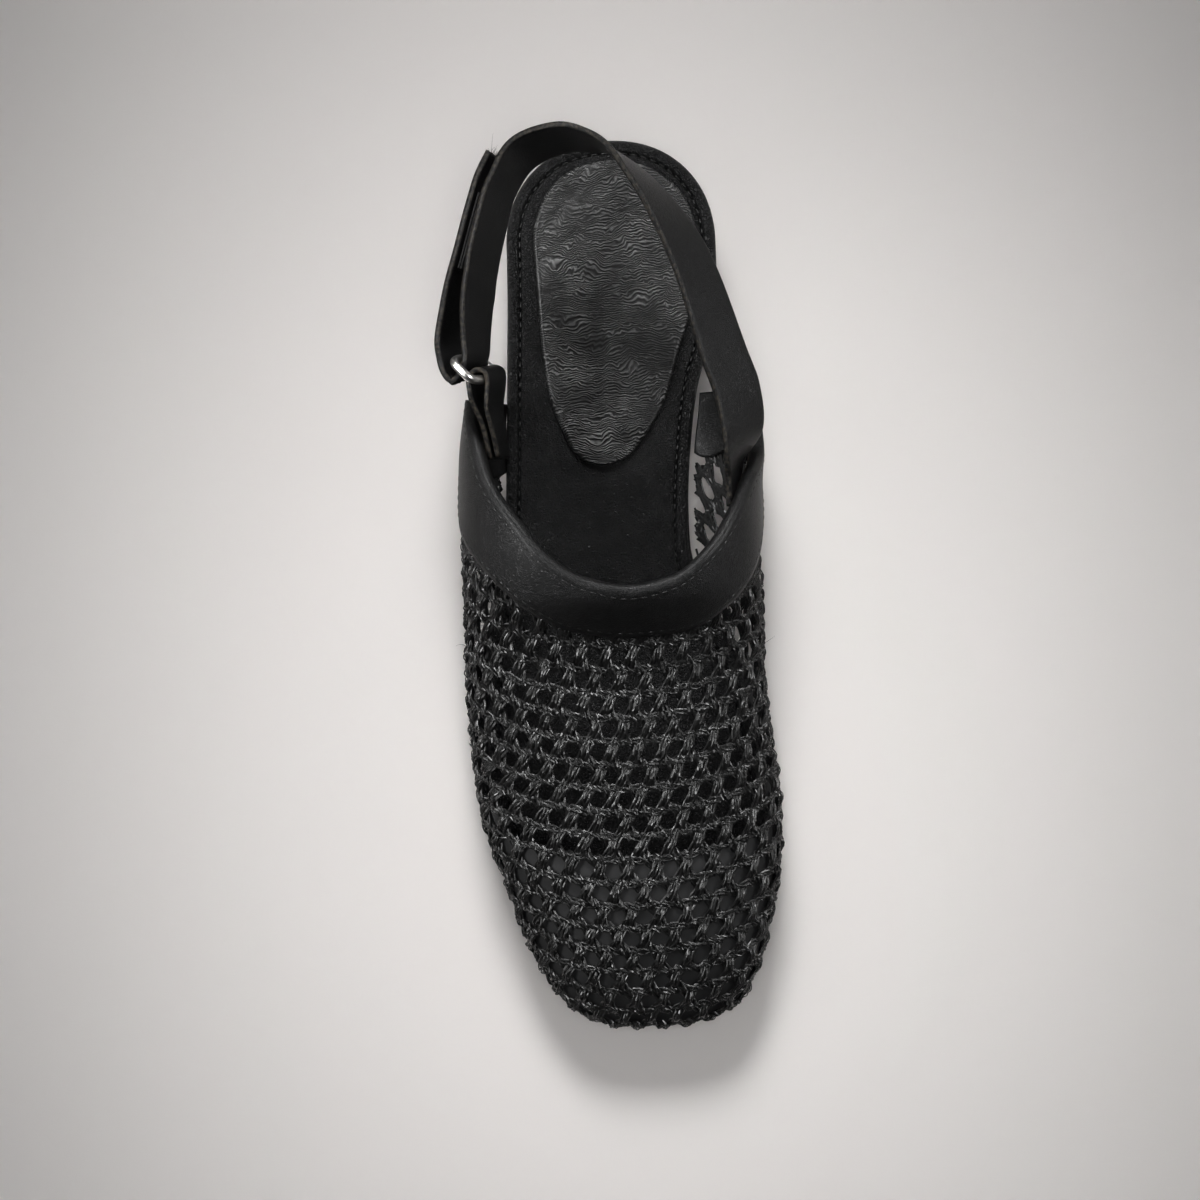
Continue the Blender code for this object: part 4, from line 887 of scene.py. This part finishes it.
for cord_name, starts, way, stretch, fibres, spread, twist, curl, sway, width, weave, finish in CORDS:
    cords = lay_cords(cord_name, rng, starts, way, np.arange(*stretch) * MM, fibres, spread * MM, twist * MM,
                      curl, sway, width, weave, finish)
    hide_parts("vamp")

# Toe lining
# Smooth dark cloth backed with glue, cemented inside the toe under the net. It closes the toe's holes and
# ends in a line across the foot, behind which the net is open.
LINING_DEPTH = 1.75 * MM
LINING_THICK = 0.5 * MM
LINING_BACK = 4.6 * MM
LINING_BOW = 4.2
LINING_REACH = 0.985
LINING_SIDES = 0.955


def slab(name, outer, inner, finish):
    """A closed sheet between two grids of points: each row goes out over the one and back over the other."""
    rows, columns = outer.shape[:2]
    loops = np.concatenate((outer, inner[:, ::-1]), axis=1)
    return put_piece(name, loops, ring_faces(2 * columns, rows), finish)


def lining_line(a):
    """Back edge of the lining on the unrolled upper: a shallow parabola behind the toe's centre."""
    return LINING_BACK + LINING_BOW * a ** 2


lining_turn = np.linspace(-0.5 * math.pi, 0.5 * math.pi, 121)
lining_far = LINING_REACH * feather(np.sin(lining_turn), -np.cos(lining_turn))
lining_front = np.stack((lining_far * np.sin(lining_turn), -lining_far * np.cos(lining_turn)), axis=1)
lining_half = LINING_SIDES * float(feather(np.array([0.01]), np.array([0.012]))[0])
lining_a = np.linspace(-lining_half, lining_half, 121)
lining_back = np.stack((lining_a, lining_line(lining_a)), axis=1)
lining_share = np.linspace(0.0, 1.0, 81)[:, None, None]
lining_flat = lining_front * (1.0 - lining_share) + lining_back * lining_share
lining_a, lining_b = lining_flat[..., 0], lining_flat[..., 1]
lining_wave = 0.12 * MM * np.sin(lining_a / (7.0 * MM)) * np.cos(lining_b / (9.0 * MM))
toe_cloth = mottled_finish("toe_lining", 0.72, 55.0, (0.015, 0.015, 0.0155), (0.028, 0.028, 0.029))[0]
lining = slab("toe_lining", drape(lining_a, lining_b, lining_wave - LINING_DEPTH),
              drape(lining_a, lining_b, lining_wave - LINING_DEPTH - LINING_THICK), toe_cloth)
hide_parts("vamp")

# Collar
# A band of smooth black leather, rolled over the throat's edge and down inside. It is stitched through
# 2 mm below the fold and again along its lower edge; a raw lining edge shows just inside the fold.
COLLAR_STATIONS = 260
COLLAR_LEATHER = 1.1 * MM
COLLAR_INSIDE = 7.0 * MM
FOLD_STITCH = 2.0 * MM
LOW_STITCH = 1.5 * MM
LINING_EDGE_DOWN = 0.95 * MM
LINING_EDGE_OUT = -2.15 * MM
LINING_EDGE_RADIUS = 0.22 * MM
SEAM_OUT = 2.02 * MM
SEAM_STITCH = 2.0 * MM
SEAM_THREAD = 0.34 * MM
# The fold's path. Columns: distance down from the collar's top edge and distance out, mm.
FOLD_PATH = np.array((
    (3.0, 1.55), (1.9, 1.48), (1.2, 1.56), (0.5, 1.48), (-0.05, 1.15), (-0.38, 0.60), (-0.48, 0.0),
    (-0.38, -0.70), (-0.05, -1.30), (0.5, -1.72), (1.3, -1.92), (3.0, -2.0),
)) * MM

fold_top = collar_edge(0, COLLAR_STATIONS)
fold_low = collar_edge(2, COLLAR_STATIONS)
fold_way = fold_low - fold_top
fold_reach = np.linalg.norm(fold_way, axis=1, keepdims=True)
fold_way /= fold_reach


def on_collar(down, out):
    """A line along the collar at distances down from its top edge and out from the upper."""
    flat = fold_top + fold_way * np.broadcast_to(down, (COLLAR_STATIONS,))[:, None]
    return drape(flat[:, 0], flat[:, 1], np.broadcast_to(out, (COLLAR_STATIONS,)))


def collar_band():
    """The folded band: outside from its lower edge up, round the fold and down inside, at its thickness."""
    path = [(fold_reach[:, 0] * k + FOLD_PATH[0, 0] * (1.0 - k), FOLD_PATH[0, 1])
            for k in np.linspace(1.0, 0.07, 14)]
    path += [(np.full(COLLAR_STATIONS, d), p) for d, p in FOLD_PATH]
    path += [(np.full(COLLAR_STATIONS, d), FOLD_PATH[-1, 1])
             for d in np.linspace(FOLD_PATH[-1, 0], COLLAR_INSIDE, 4)[1:]]
    downs = np.array([np.median(d) for d, _ in path])
    outs = np.array([p for _, p in path])
    step = normed(np.stack((np.gradient(downs), np.gradient(outs)), axis=1))
    half = 0.5 * COLLAR_LEATHER * np.where(outs < -0.5 * MM, 0.55, 1.0)
    half[:2] *= (0.55, 0.9)
    outer, inner = [], []
    for (down, out), way, away in zip(path, step, half):
        outer.append(on_collar(down + way[1] * away, out - way[0] * away))
        inner.append(on_collar(down - way[1] * away, out + way[0] * away))
    return np.stack(outer, axis=1), np.stack(inner, axis=1)


collar_leather = leather("collar_leather", (0.0045, 0.0045, 0.0048), (0.0085, 0.0085, 0.0088), 0.42,
                         0.55 * MM, 0.00008, 0.10)
band_outer, band_inner = collar_band()
collar = slab("collar_band", band_outer, band_inner, collar_leather)
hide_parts("collar")

for seam_name, seam_down in (("fold_stitches", np.full(COLLAR_STATIONS, FOLD_STITCH)),
                             ("low_stitches", fold_reach[:, 0] - LOW_STITCH)):
    seam_way = on_collar(seam_down, 3.0 * MM) - on_collar(seam_down, 0.0)
    seam = stitch_row(seam_name, on_collar(seam_down, SEAM_OUT), seam_way, thread_black, SEAM_STITCH,
                      SEAM_THREAD)


REFERENCE = np.array((0.21, 0.13, 0.97))


def tube(name, path, radius, finish, sides=8, closed=False):
    """A round cord along a path: circles across it, turned with a reference direction that never flips."""
    around = np.roll(path, -1, axis=0) - np.roll(path, 1, axis=0)
    ahead = normed(around if closed else np.gradient(path, axis=0))
    side = normed(np.cross(ahead, REFERENCE))
    up = np.cross(side, ahead)
    turn = np.linspace(0.0, 2.0 * math.pi, sides, endpoint=False)[None, :, None]
    size = np.broadcast_to(radius, (len(path),))[:, None, None]
    points = path[:, None, :] + size * (side[:, None, :] * np.cos(turn) + up[:, None, :] * np.sin(turn))
    joined = grid_faces(len(path) + 1, sides, closed=True) % (len(path) * sides)
    return put_piece(name, points, joined if closed else ring_faces(sides, len(path)), finish)


raw_edge = mottled_finish("raw_edge", 0.85, 700.0, (0.030, 0.025, 0.020), (0.110, 0.090, 0.066))[0]
lining_edge = tube("lining_edge", on_collar(LINING_EDGE_DOWN, LINING_EDGE_OUT), LINING_EDGE_RADIUS, raw_edge)

# Leather patches inside the wings
# Where the strap and the ring's tab are sewn in, the inside of each wing is faced with the collar's
# leather from the fold down to the footbed, with a slanting front edge.
PATCH_DEPTH = 2.35 * MM
PATCH_THICK = 0.7 * MM
PATCH_BELOW_FOLD = 2.5 * MM
PATCH_ABOVE_SOLE = 1.0 * MM
PATCH_DENT = 0.35 * MM
WING_BACK = 0.2885
# Columns: name, side, front edge at the top and at the bottom as shares of LENGTH.
PATCHES = (("patch_medial", 1.0, 0.372, 0.352), ("patch_lateral", -1.0, 0.385, 0.362))
for patch_name, patch_side, front_top, front_low in PATCHES:
    share = np.linspace(0.0, 1.0, 40)[:, None]
    backwards = np.linspace(1.0, 0.0, 26)[None, :]
    front = front_top + (front_low - front_top) * share + 0.006 * np.sin(9.0 * share)
    patch_b = y_of(WING_BACK + (front - WING_BACK) * backwards) - y_of(TOE_CENTRE)
    wing_line = collar_edge(0, 161)
    wing_line = wing_line[80:] if patch_side > 0.0 else wing_line[80::-1]
    top_a = np.interp(patch_b, wing_line[:, 1], np.abs(wing_line[:, 0])) + PATCH_BELOW_FOLD
    low_a = read_map(UPPER_EDGE, np.full(patch_b.shape, patch_side * 50.0 * MM), patch_b) - PATCH_ABOVE_SOLE
    patch_a = patch_side * (top_a + (low_a - top_a) * share)
    dent = PATCH_DENT * np.sin(7.0 * share + 1.0) * np.sin(5.0 * backwards)
    patch = slab(patch_name, drape(patch_a, patch_b, dent - PATCH_DEPTH),
                 drape(patch_a, patch_b, dent - PATCH_DEPTH - PATCH_THICK), collar_leather)

# Sling strap
# A 16 mm strap of two leathers glued back to back, with raw brown edges. It is sewn inside the medial
# wing, passes round the heel and through the ring, and is folded back on itself over hook and loop tape.
STRAP_WIDTH = 16.0 * MM
STRAP_THICKNESS = 1.7 * MM
STRAP_HEIGHT = 65.7 * MM
STRAP_STEPS = 8
TAPE_WIDTH = 13.0 * MM
TAPE_THICKNESS = 0.45 * MM
TAPE_START = 0.885
TAPE_LENGTH = 20.0 * MM
# Middle line. Columns: x as share of HEEL_WIDTH, y as share of LENGTH from the heel's back, z as share of
# STRAP_HEIGHT, and how far the upper edge leans in x and y for each unit of height.
STRAP_PATH = np.array((
    (0.512, 0.419, 0.655, -0.26, -0.06), (0.512, 0.388, 0.702, -0.24, -0.10),
    (0.520, 0.370, 0.748, -0.36, -0.16), (0.560, 0.341, 0.816, -0.92, -0.25),
    (0.542, 0.297, 0.860, -1.26, -0.36), (0.485, 0.254, 0.898, -1.18, -0.35),
    (0.390, 0.176, 0.936, -0.93, -0.33), (0.305, 0.126, 0.951, -0.72, -0.27),
    (0.170, 0.073, 0.974, -0.35, -0.20), (0.020, 0.033, 0.990, -0.08, -0.02),
    (-0.090, 0.021, 0.998, -0.03, 0.22), (-0.215, 0.017, 1.000, -0.17, 0.40),
    (-0.388, 0.030, 0.974, -0.42, 0.40), (-0.498, 0.066, 0.951, -0.48, 0.21),
    (-0.556, 0.106, 0.925, -0.53, 0.10), (-0.602, 0.144, 0.895, -0.58, 0.00),
    (-0.634, 0.182, 0.857, -0.57, -0.08), (-0.650, 0.218, 0.822, -0.48, -0.10),
    (-0.656, 0.244, 0.808, -0.40, -0.10), (-0.678, 0.2552, 0.806, -0.38, -0.10),
    (-0.704, 0.2655, 0.806, -0.38, -0.10), (-0.734, 0.2665, 0.806, -0.38, -0.10),
    (-0.760, 0.2575, 0.806, -0.38, -0.10), (-0.772, 0.2440, 0.806, -0.40, -0.10),
))
# The layer folded back. Columns: place beside the first layer, gap as share of STRAP_THICKNESS.
RETURN_LAYER = np.array((
    (0.226, 4.70), (0.200, 3.95), (0.170, 3.20), (0.140, 2.50), (0.100, 2.25), (0.066, 2.22), (0.045, 2.25),
))
# Creases across the strap. Columns: share of its length, slant, depth in mm, width as share of the length.
STRAP_CREASES = ((0.655, 0.034, 0.55, 0.0042), (0.30, -0.020, 0.25, 0.010), (0.41, 0.016, 0.22, 0.008),
                 (0.52, -0.012, 0.20, 0.009), (0.15, 0.020, 0.20, 0.012))


def path_points(table):
    """A path table as middle points and unit vectors across the width."""
    middle = np.stack((table[:, 0] * HEEL_WIDTH, y_of(table[:, 1]), table[:, 2] * STRAP_HEIGHT), axis=1)
    return middle, normed(np.column_stack((table[:, 3:5], np.ones(len(table)))))


def spline(points, per_row):
    """Catmull-Rom curve through the rows: cubic pieces whose slopes are half the neighbours' difference."""
    ends = np.concatenate(([2.0 * points[0] - points[1]], points, [2.0 * points[-1] - points[-2]]))
    p0, p1, p2, p3 = (ends[i:len(ends) - 3 + i, None, :] for i in range(4))
    t = np.linspace(0.0, 1.0, per_row, endpoint=False)[None, :, None]
    curve = 0.5 * (2.0 * p1 + (p2 - p0) * t + (2.0 * p0 - 5.0 * p1 + 4.0 * p2 - p3) * t ** 2
                   + (3.0 * p1 - p0 - 3.0 * p2 + p3) * t ** 3)
    return np.concatenate((curve.reshape(-1, points.shape[1]), points[-1:]))


def face_normals(middle, across):
    """Unit normals of a strap's face: its direction crossed with its width."""
    return normed(np.cross(np.gradient(middle, axis=0), across))


def strap_path():
    """Middle points, width directions and normals of the strap: the table, then the layer beside it."""
    middle, across = path_points(STRAP_PATH)
    first, lean = spline(middle, STRAP_STEPS), spline(across, STRAP_STEPS)
    outward = face_normals(first, lean)
    back = int(np.argmax(first[:, 1]))
    stretch = slice(back + int(np.argmin(first[back:, 1])), back, -1)

    def beside(values):
        return read_line(y_of(RETURN_LAYER[:, 0]), first[stretch, 1], values[stretch])

    folded = beside(first) + beside(outward) * RETURN_LAYER[:, 1:] * STRAP_THICKNESS
    middle = spline(np.concatenate((middle, folded)), STRAP_STEPS)
    across = normed(spline(np.concatenate((across, beside(lean))), STRAP_STEPS))
    return middle, across, face_normals(middle, across)


def ribbon(name, middle, across, normal, width, thickness, finish, creases=(), crown=0.12):
    """A flat strip along a path: a rounded rectangle across it, a little crowned, with troughs as creases.

    UV holds the length in metres and a mask that is 1 on the cut edges.
    """
    p = np.array((0.0, 0.2, 0.41, 0.62, 0.82, 0.94, 0.985, 1.0))
    q = np.array((1.0, 1.0, 1.0, 1.0, 1.0, 0.99, 0.86, 0.30))
    p, q = np.concatenate((-p[:0:-1], p)), np.concatenate((q[:0:-1], q))
    share = np.linspace(0.0, 1.0, len(middle))
    sink = np.zeros((len(middle), len(p)))
    for place, slant, depth, size in creases:
        sink += depth * MM * np.exp(-(((share[:, None] - place) - slant * p[None, :]) / size) ** 2)
    bent = crown * MM * (1.0 - p ** 2) - sink
    top = bent + 0.5 * thickness * q
    low = bent - 0.5 * thickness * q
    wide = 0.5 * width * p
    height = np.concatenate((top, low[:, ::-1]), axis=1)[:, :, None]
    wide = np.concatenate((wide, wide[::-1]))[None, :, None]
    points = middle[:, None, :] + across[:, None, :] * wide + normal[:, None, :] * height
    mask = (np.abs(p) > 0.98).astype(float)
    mask = np.concatenate((mask, mask[::-1]))
    uv = np.stack(np.broadcast_arrays(run_of(middle)[:, None], mask[None, :]), axis=-1)
    return put_piece(name, points, ring_faces(2 * len(p), len(middle)), finish, uv)


def brown_edges(made, amount):
    """Mix a leather's colour with raw brown where the UV mask marks a cut edge, broken up by noise."""
    shader = made.node_tree.nodes["Principled BSDF"]
    old = shader.inputs["Base Color"].links[0].from_socket
    read = add_node(made, "ShaderNodeTexCoord").outputs
    uv = add_node(made, "ShaderNodeSeparateXYZ", {"Vector": read["UV"]})
    noise = add_node(made, "ShaderNodeTexNoise", {"Vector": read["Object"], "Scale": 900.0, "Detail": 3.0})
    worn = add_node(made, "ShaderNodeMapRange",
                    {"Value": noise.outputs["Fac"], "From Min": 0.44, "From Max": 0.62, "To Max": amount})
    factor = add_node(made, "ShaderNodeMath", {0: uv.outputs["Y"], 1: worn.outputs["Result"]},
                      operation="MULTIPLY")
    mix = add_node(made, "ShaderNodeMix", {"Factor": factor.outputs["Value"]}, data_type="RGBA")
    made.node_tree.links.new(old, mix.inputs["A"])
    mix.inputs["B"].default_value = (0.085, 0.070, 0.052, 1.0)
    made.node_tree.links.new(mix.outputs["Result"], shader.inputs["Base Color"])


strap_leather = leather("strap_leather", (0.0045, 0.0045, 0.0047), (0.0085, 0.0085, 0.0088), 0.45, 0.6 * MM,
                        0.00009, 0.08)
brown_edges(strap_leather, 0.55)
strap_middle, strap_across, strap_normal = strap_path()
strap = ribbon("strap_band", strap_middle, strap_across, strap_normal, STRAP_WIDTH, STRAP_THICKNESS,
               strap_leather, STRAP_CREASES)
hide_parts("sling_strap")

# Hook and loop tapes
# Two black nylon tapes between the strap's layers: the woven one with its loops on the strap, the stiff
# one with its hooks on the folded layer. Their fluff shows at the folded layer's end.
tape_reach = run_of(strap_middle)
tape_stops = TAPE_START * tape_reach[-1] + np.linspace(0.0, TAPE_LENGTH, 41)
tape_middle, tape_across, tape_normal = (read_line(tape_stops, tape_reach, values)
                                         for values in (strap_middle, strap_across, strap_normal))
for tape_name, tape_level in (("loop_tape", 0.0), ("hook_tape", TAPE_THICKNESS + CLEARANCE)):
    tape_finish, tape_shader, tape_noise, _ = mottled_finish(tape_name + "_nylon", 0.8, 1500.0, (0.006,) * 3,
                                                             (0.030,) * 3)
    emboss(tape_finish, tape_shader, tape_noise, 1.0, 0.0004)
    tape_seat = STRAP_THICKNESS / 2.0 + CLEARANCE + TAPE_THICKNESS / 2.0 + tape_level
    tape = ribbon(tape_name + "_strip", tape_middle + tape_normal * tape_seat, tape_across, tape_normal,
                  TAPE_WIDTH, TAPE_THICKNESS, tape_finish, crown=0.0)
    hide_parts(tape_name)

# Ring's tab
# A strip of smooth black leather folded round the ring's bar, both of its ends sewn inside the lateral
# wing. Its cut edges are light.
TAB_WIDTH = 13.0 * MM
TAB_THICKNESS = 1.4 * MM
TAB_PATH = np.array((
    (-0.592, 0.356, 0.670, -0.22, 0.00), (-0.614, 0.319, 0.730, -0.26, -0.03),
    (-0.647, 0.2932, 0.776, -0.36, -0.06), (-0.654, 0.2792, 0.792, -0.38, -0.08),
    (-0.656, 0.2684, 0.795, -0.38, -0.10), (-0.644, 0.2604, 0.795, -0.38, -0.10),
    (-0.613, 0.2570, 0.795, -0.38, -0.10), (-0.580, 0.2602, 0.795, -0.38, -0.10),
    (-0.570, 0.2684, 0.794, -0.38, -0.10), (-0.575, 0.2800, 0.785, -0.36, -0.08),
    (-0.586, 0.3000, 0.765, -0.33, -0.05), (-0.573, 0.3230, 0.730, -0.26, -0.03),
    (-0.556, 0.3540, 0.680, -0.22, 0.00),
))
# The tab's leather is a darker copy of the strap's black leather: painted shade.
tab_leather = leather("tab_leather", (0.002, 0.002, 0.0021), (0.0045, 0.0045, 0.0047), 0.40, 0.6 * MM,
                      0.00008, 0.12)
brown_edges(tab_leather, 0.8)
tab_middle, tab_across = (spline(rows, STRAP_STEPS) for rows in path_points(TAB_PATH))
tab_across = normed(tab_across)
tab = ribbon("tab_loop", tab_middle, tab_across, face_normals(tab_middle, tab_across), TAB_WIDTH,
             TAB_THICKNESS, tab_leather, crown=0.05)
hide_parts("ring_tab")

# Ring
# An oval ring of polished nickel-plated wire, free to swivel in its tab.
RING_WIRE = 2.4 * MM
RING_WIDTH = 8.3 * MM
RING_HEIGHT = 19.8 * MM
RING_SQUARENESS = 3.8
RING_CENTRE = (-0.663, 0.2569, 0.804)
RING_TURN = math.radians(-44.0)
RING_LEAN = (-0.38, -0.10)


def squared(values):
    """Cosines or sines of a superellipse: the power 2 / RING_SQUARENESS with the sign kept."""
    return np.sign(values) * np.abs(values) ** (2.0 / RING_SQUARENESS)


ring_tall = normed(np.array((*RING_LEAN, 1.0)))
ring_wide = np.array((math.cos(RING_TURN), math.sin(RING_TURN), 0.0))
ring_wide = normed(ring_wide - ring_tall * np.dot(ring_tall, ring_wide))
ring_turn = np.linspace(0.0, 2.0 * math.pi, 160, endpoint=False)[:, None]
ring_middle = np.array((RING_CENTRE[0] * HEEL_WIDTH, float(y_of(RING_CENTRE[1])),
                        RING_CENTRE[2] * STRAP_HEIGHT))
ring_path = (ring_middle + RING_WIDTH / 2.0 * squared(np.cos(ring_turn)) * ring_wide
             + RING_HEIGHT / 2.0 * squared(np.sin(ring_turn)) * ring_tall)
polished = mottled_finish("polished_metal", 0.34, 300.0, (0.66, 0.65, 0.63), (0.82, 0.81, 0.79),
                          Metallic=1.0)[0]
ring = tube("ring_wire", ring_path, RING_WIRE / 2.0, polished, 20, True)
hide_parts("ring")

# Loose fibres
# Fine ends of raffia that stand off the net's sides and toe, and fluff of the tapes at the folded
# layer's end. They are held only by the strands or the tape that they come from.
HAIR_STEPS = 9
HAIR_SIDES = 4
STRAY_RADIUS = 0.07 * MM
FLUFF_RADIUS = 0.06 * MM
FLUFF_COUNT = 70


def hairs(name, roots, ways, bends, lengths, radius, finish):
    """Fine tapering strands in one mesh: each leaves its root on its way and bends by its share squared."""
    t = np.linspace(0.0, 1.0, HAIR_STEPS)[None, :, None]
    path = roots[:, None, :] + lengths[:, None, None] * (ways[:, None, :] * t + bends[:, None, :] * t ** 2)
    ahead = normed(np.gradient(path, axis=1))
    side = normed(np.cross(ahead, REFERENCE))
    up = np.cross(side, ahead)
    turn = np.linspace(0.0, 2.0 * math.pi, HAIR_SIDES, endpoint=False)[None, None, :, None]
    size = radius * (1.0 - 0.75 * t)[..., None]
    across = side[:, :, None, :] * np.cos(turn) + up[:, :, None, :] * np.sin(turn)
    points = path[:, :, None, :] + size * across
    one = ring_faces(HAIR_SIDES, HAIR_STEPS)
    faces = one[None, :, :] + (np.arange(len(roots)) * HAIR_STEPS * HAIR_SIDES)[:, None, None]
    return put_piece(name, points, faces, finish)


# Columns: place on the unrolled upper (round from the ridge, back from the toe's centre), length, mm.
STRAYS = np.array((
    (58.0, 47.0, 5.5), (61.0, 33.0, 4.0), (63.0, 18.0, 3.0), (-60.0, 40.0, 3.5), (-62.0, 10.0, 3.0),
    (55.0, 62.0, 3.5), (-30.0, -56.0, 3.0), (4.0, -60.0, 2.5), (35.0, -50.0, 2.5), (-57.0, 66.0, 3.0),
    (20.0, 20.0, 4.0), (-18.0, 44.0, 4.0), (-35.0, 5.0, 3.5), (40.0, 28.0, 4.5), (12.0, 60.0, 3.5),
    (-44.0, 30.0, 4.0),
)) * MM
stray_roots = drape(STRAYS[:, 0], STRAYS[:, 1], 0.0)
stray_out = drape(STRAYS[:, 0], STRAYS[:, 1], 1.0) - stray_roots
stray_side = rng.normal(0.0, 1.0, stray_out.shape)
stray_ways = stray_out * 0.45 + 0.75 * normed(stray_side)
stray_bends = rng.normal(0.0, 0.35, stray_out.shape)
strays = hairs("stray_fibres", stray_roots, stray_ways, stray_bends, STRAYS[:, 2], STRAY_RADIUS, raffia)

fluff_share = rng.uniform(-0.5, 0.5, FLUFF_COUNT)[:, None]
fluff_roots = (strap_middle[-1] + strap_across[-1] * STRAP_WIDTH * fluff_share * 0.9
               - strap_normal[-1] * rng.uniform(-0.5, 0.5, (FLUFF_COUNT, 1)) * STRAP_THICKNESS)
strap_ahead = normed(strap_middle[-1] - strap_middle[-2])
fluff_ways = 0.7 * strap_ahead + rng.normal(0.0, 0.5, (FLUFF_COUNT, 3))
fluff_bends = rng.normal(0.0, 0.5, (FLUFF_COUNT, 3))
fluff_lengths = rng.uniform(0.8, 2.0, FLUFF_COUNT) * MM
fluff = hairs("tape_fluff", fluff_roots, fluff_ways, fluff_bends, fluff_lengths, FLUFF_RADIUS, raw_edge)
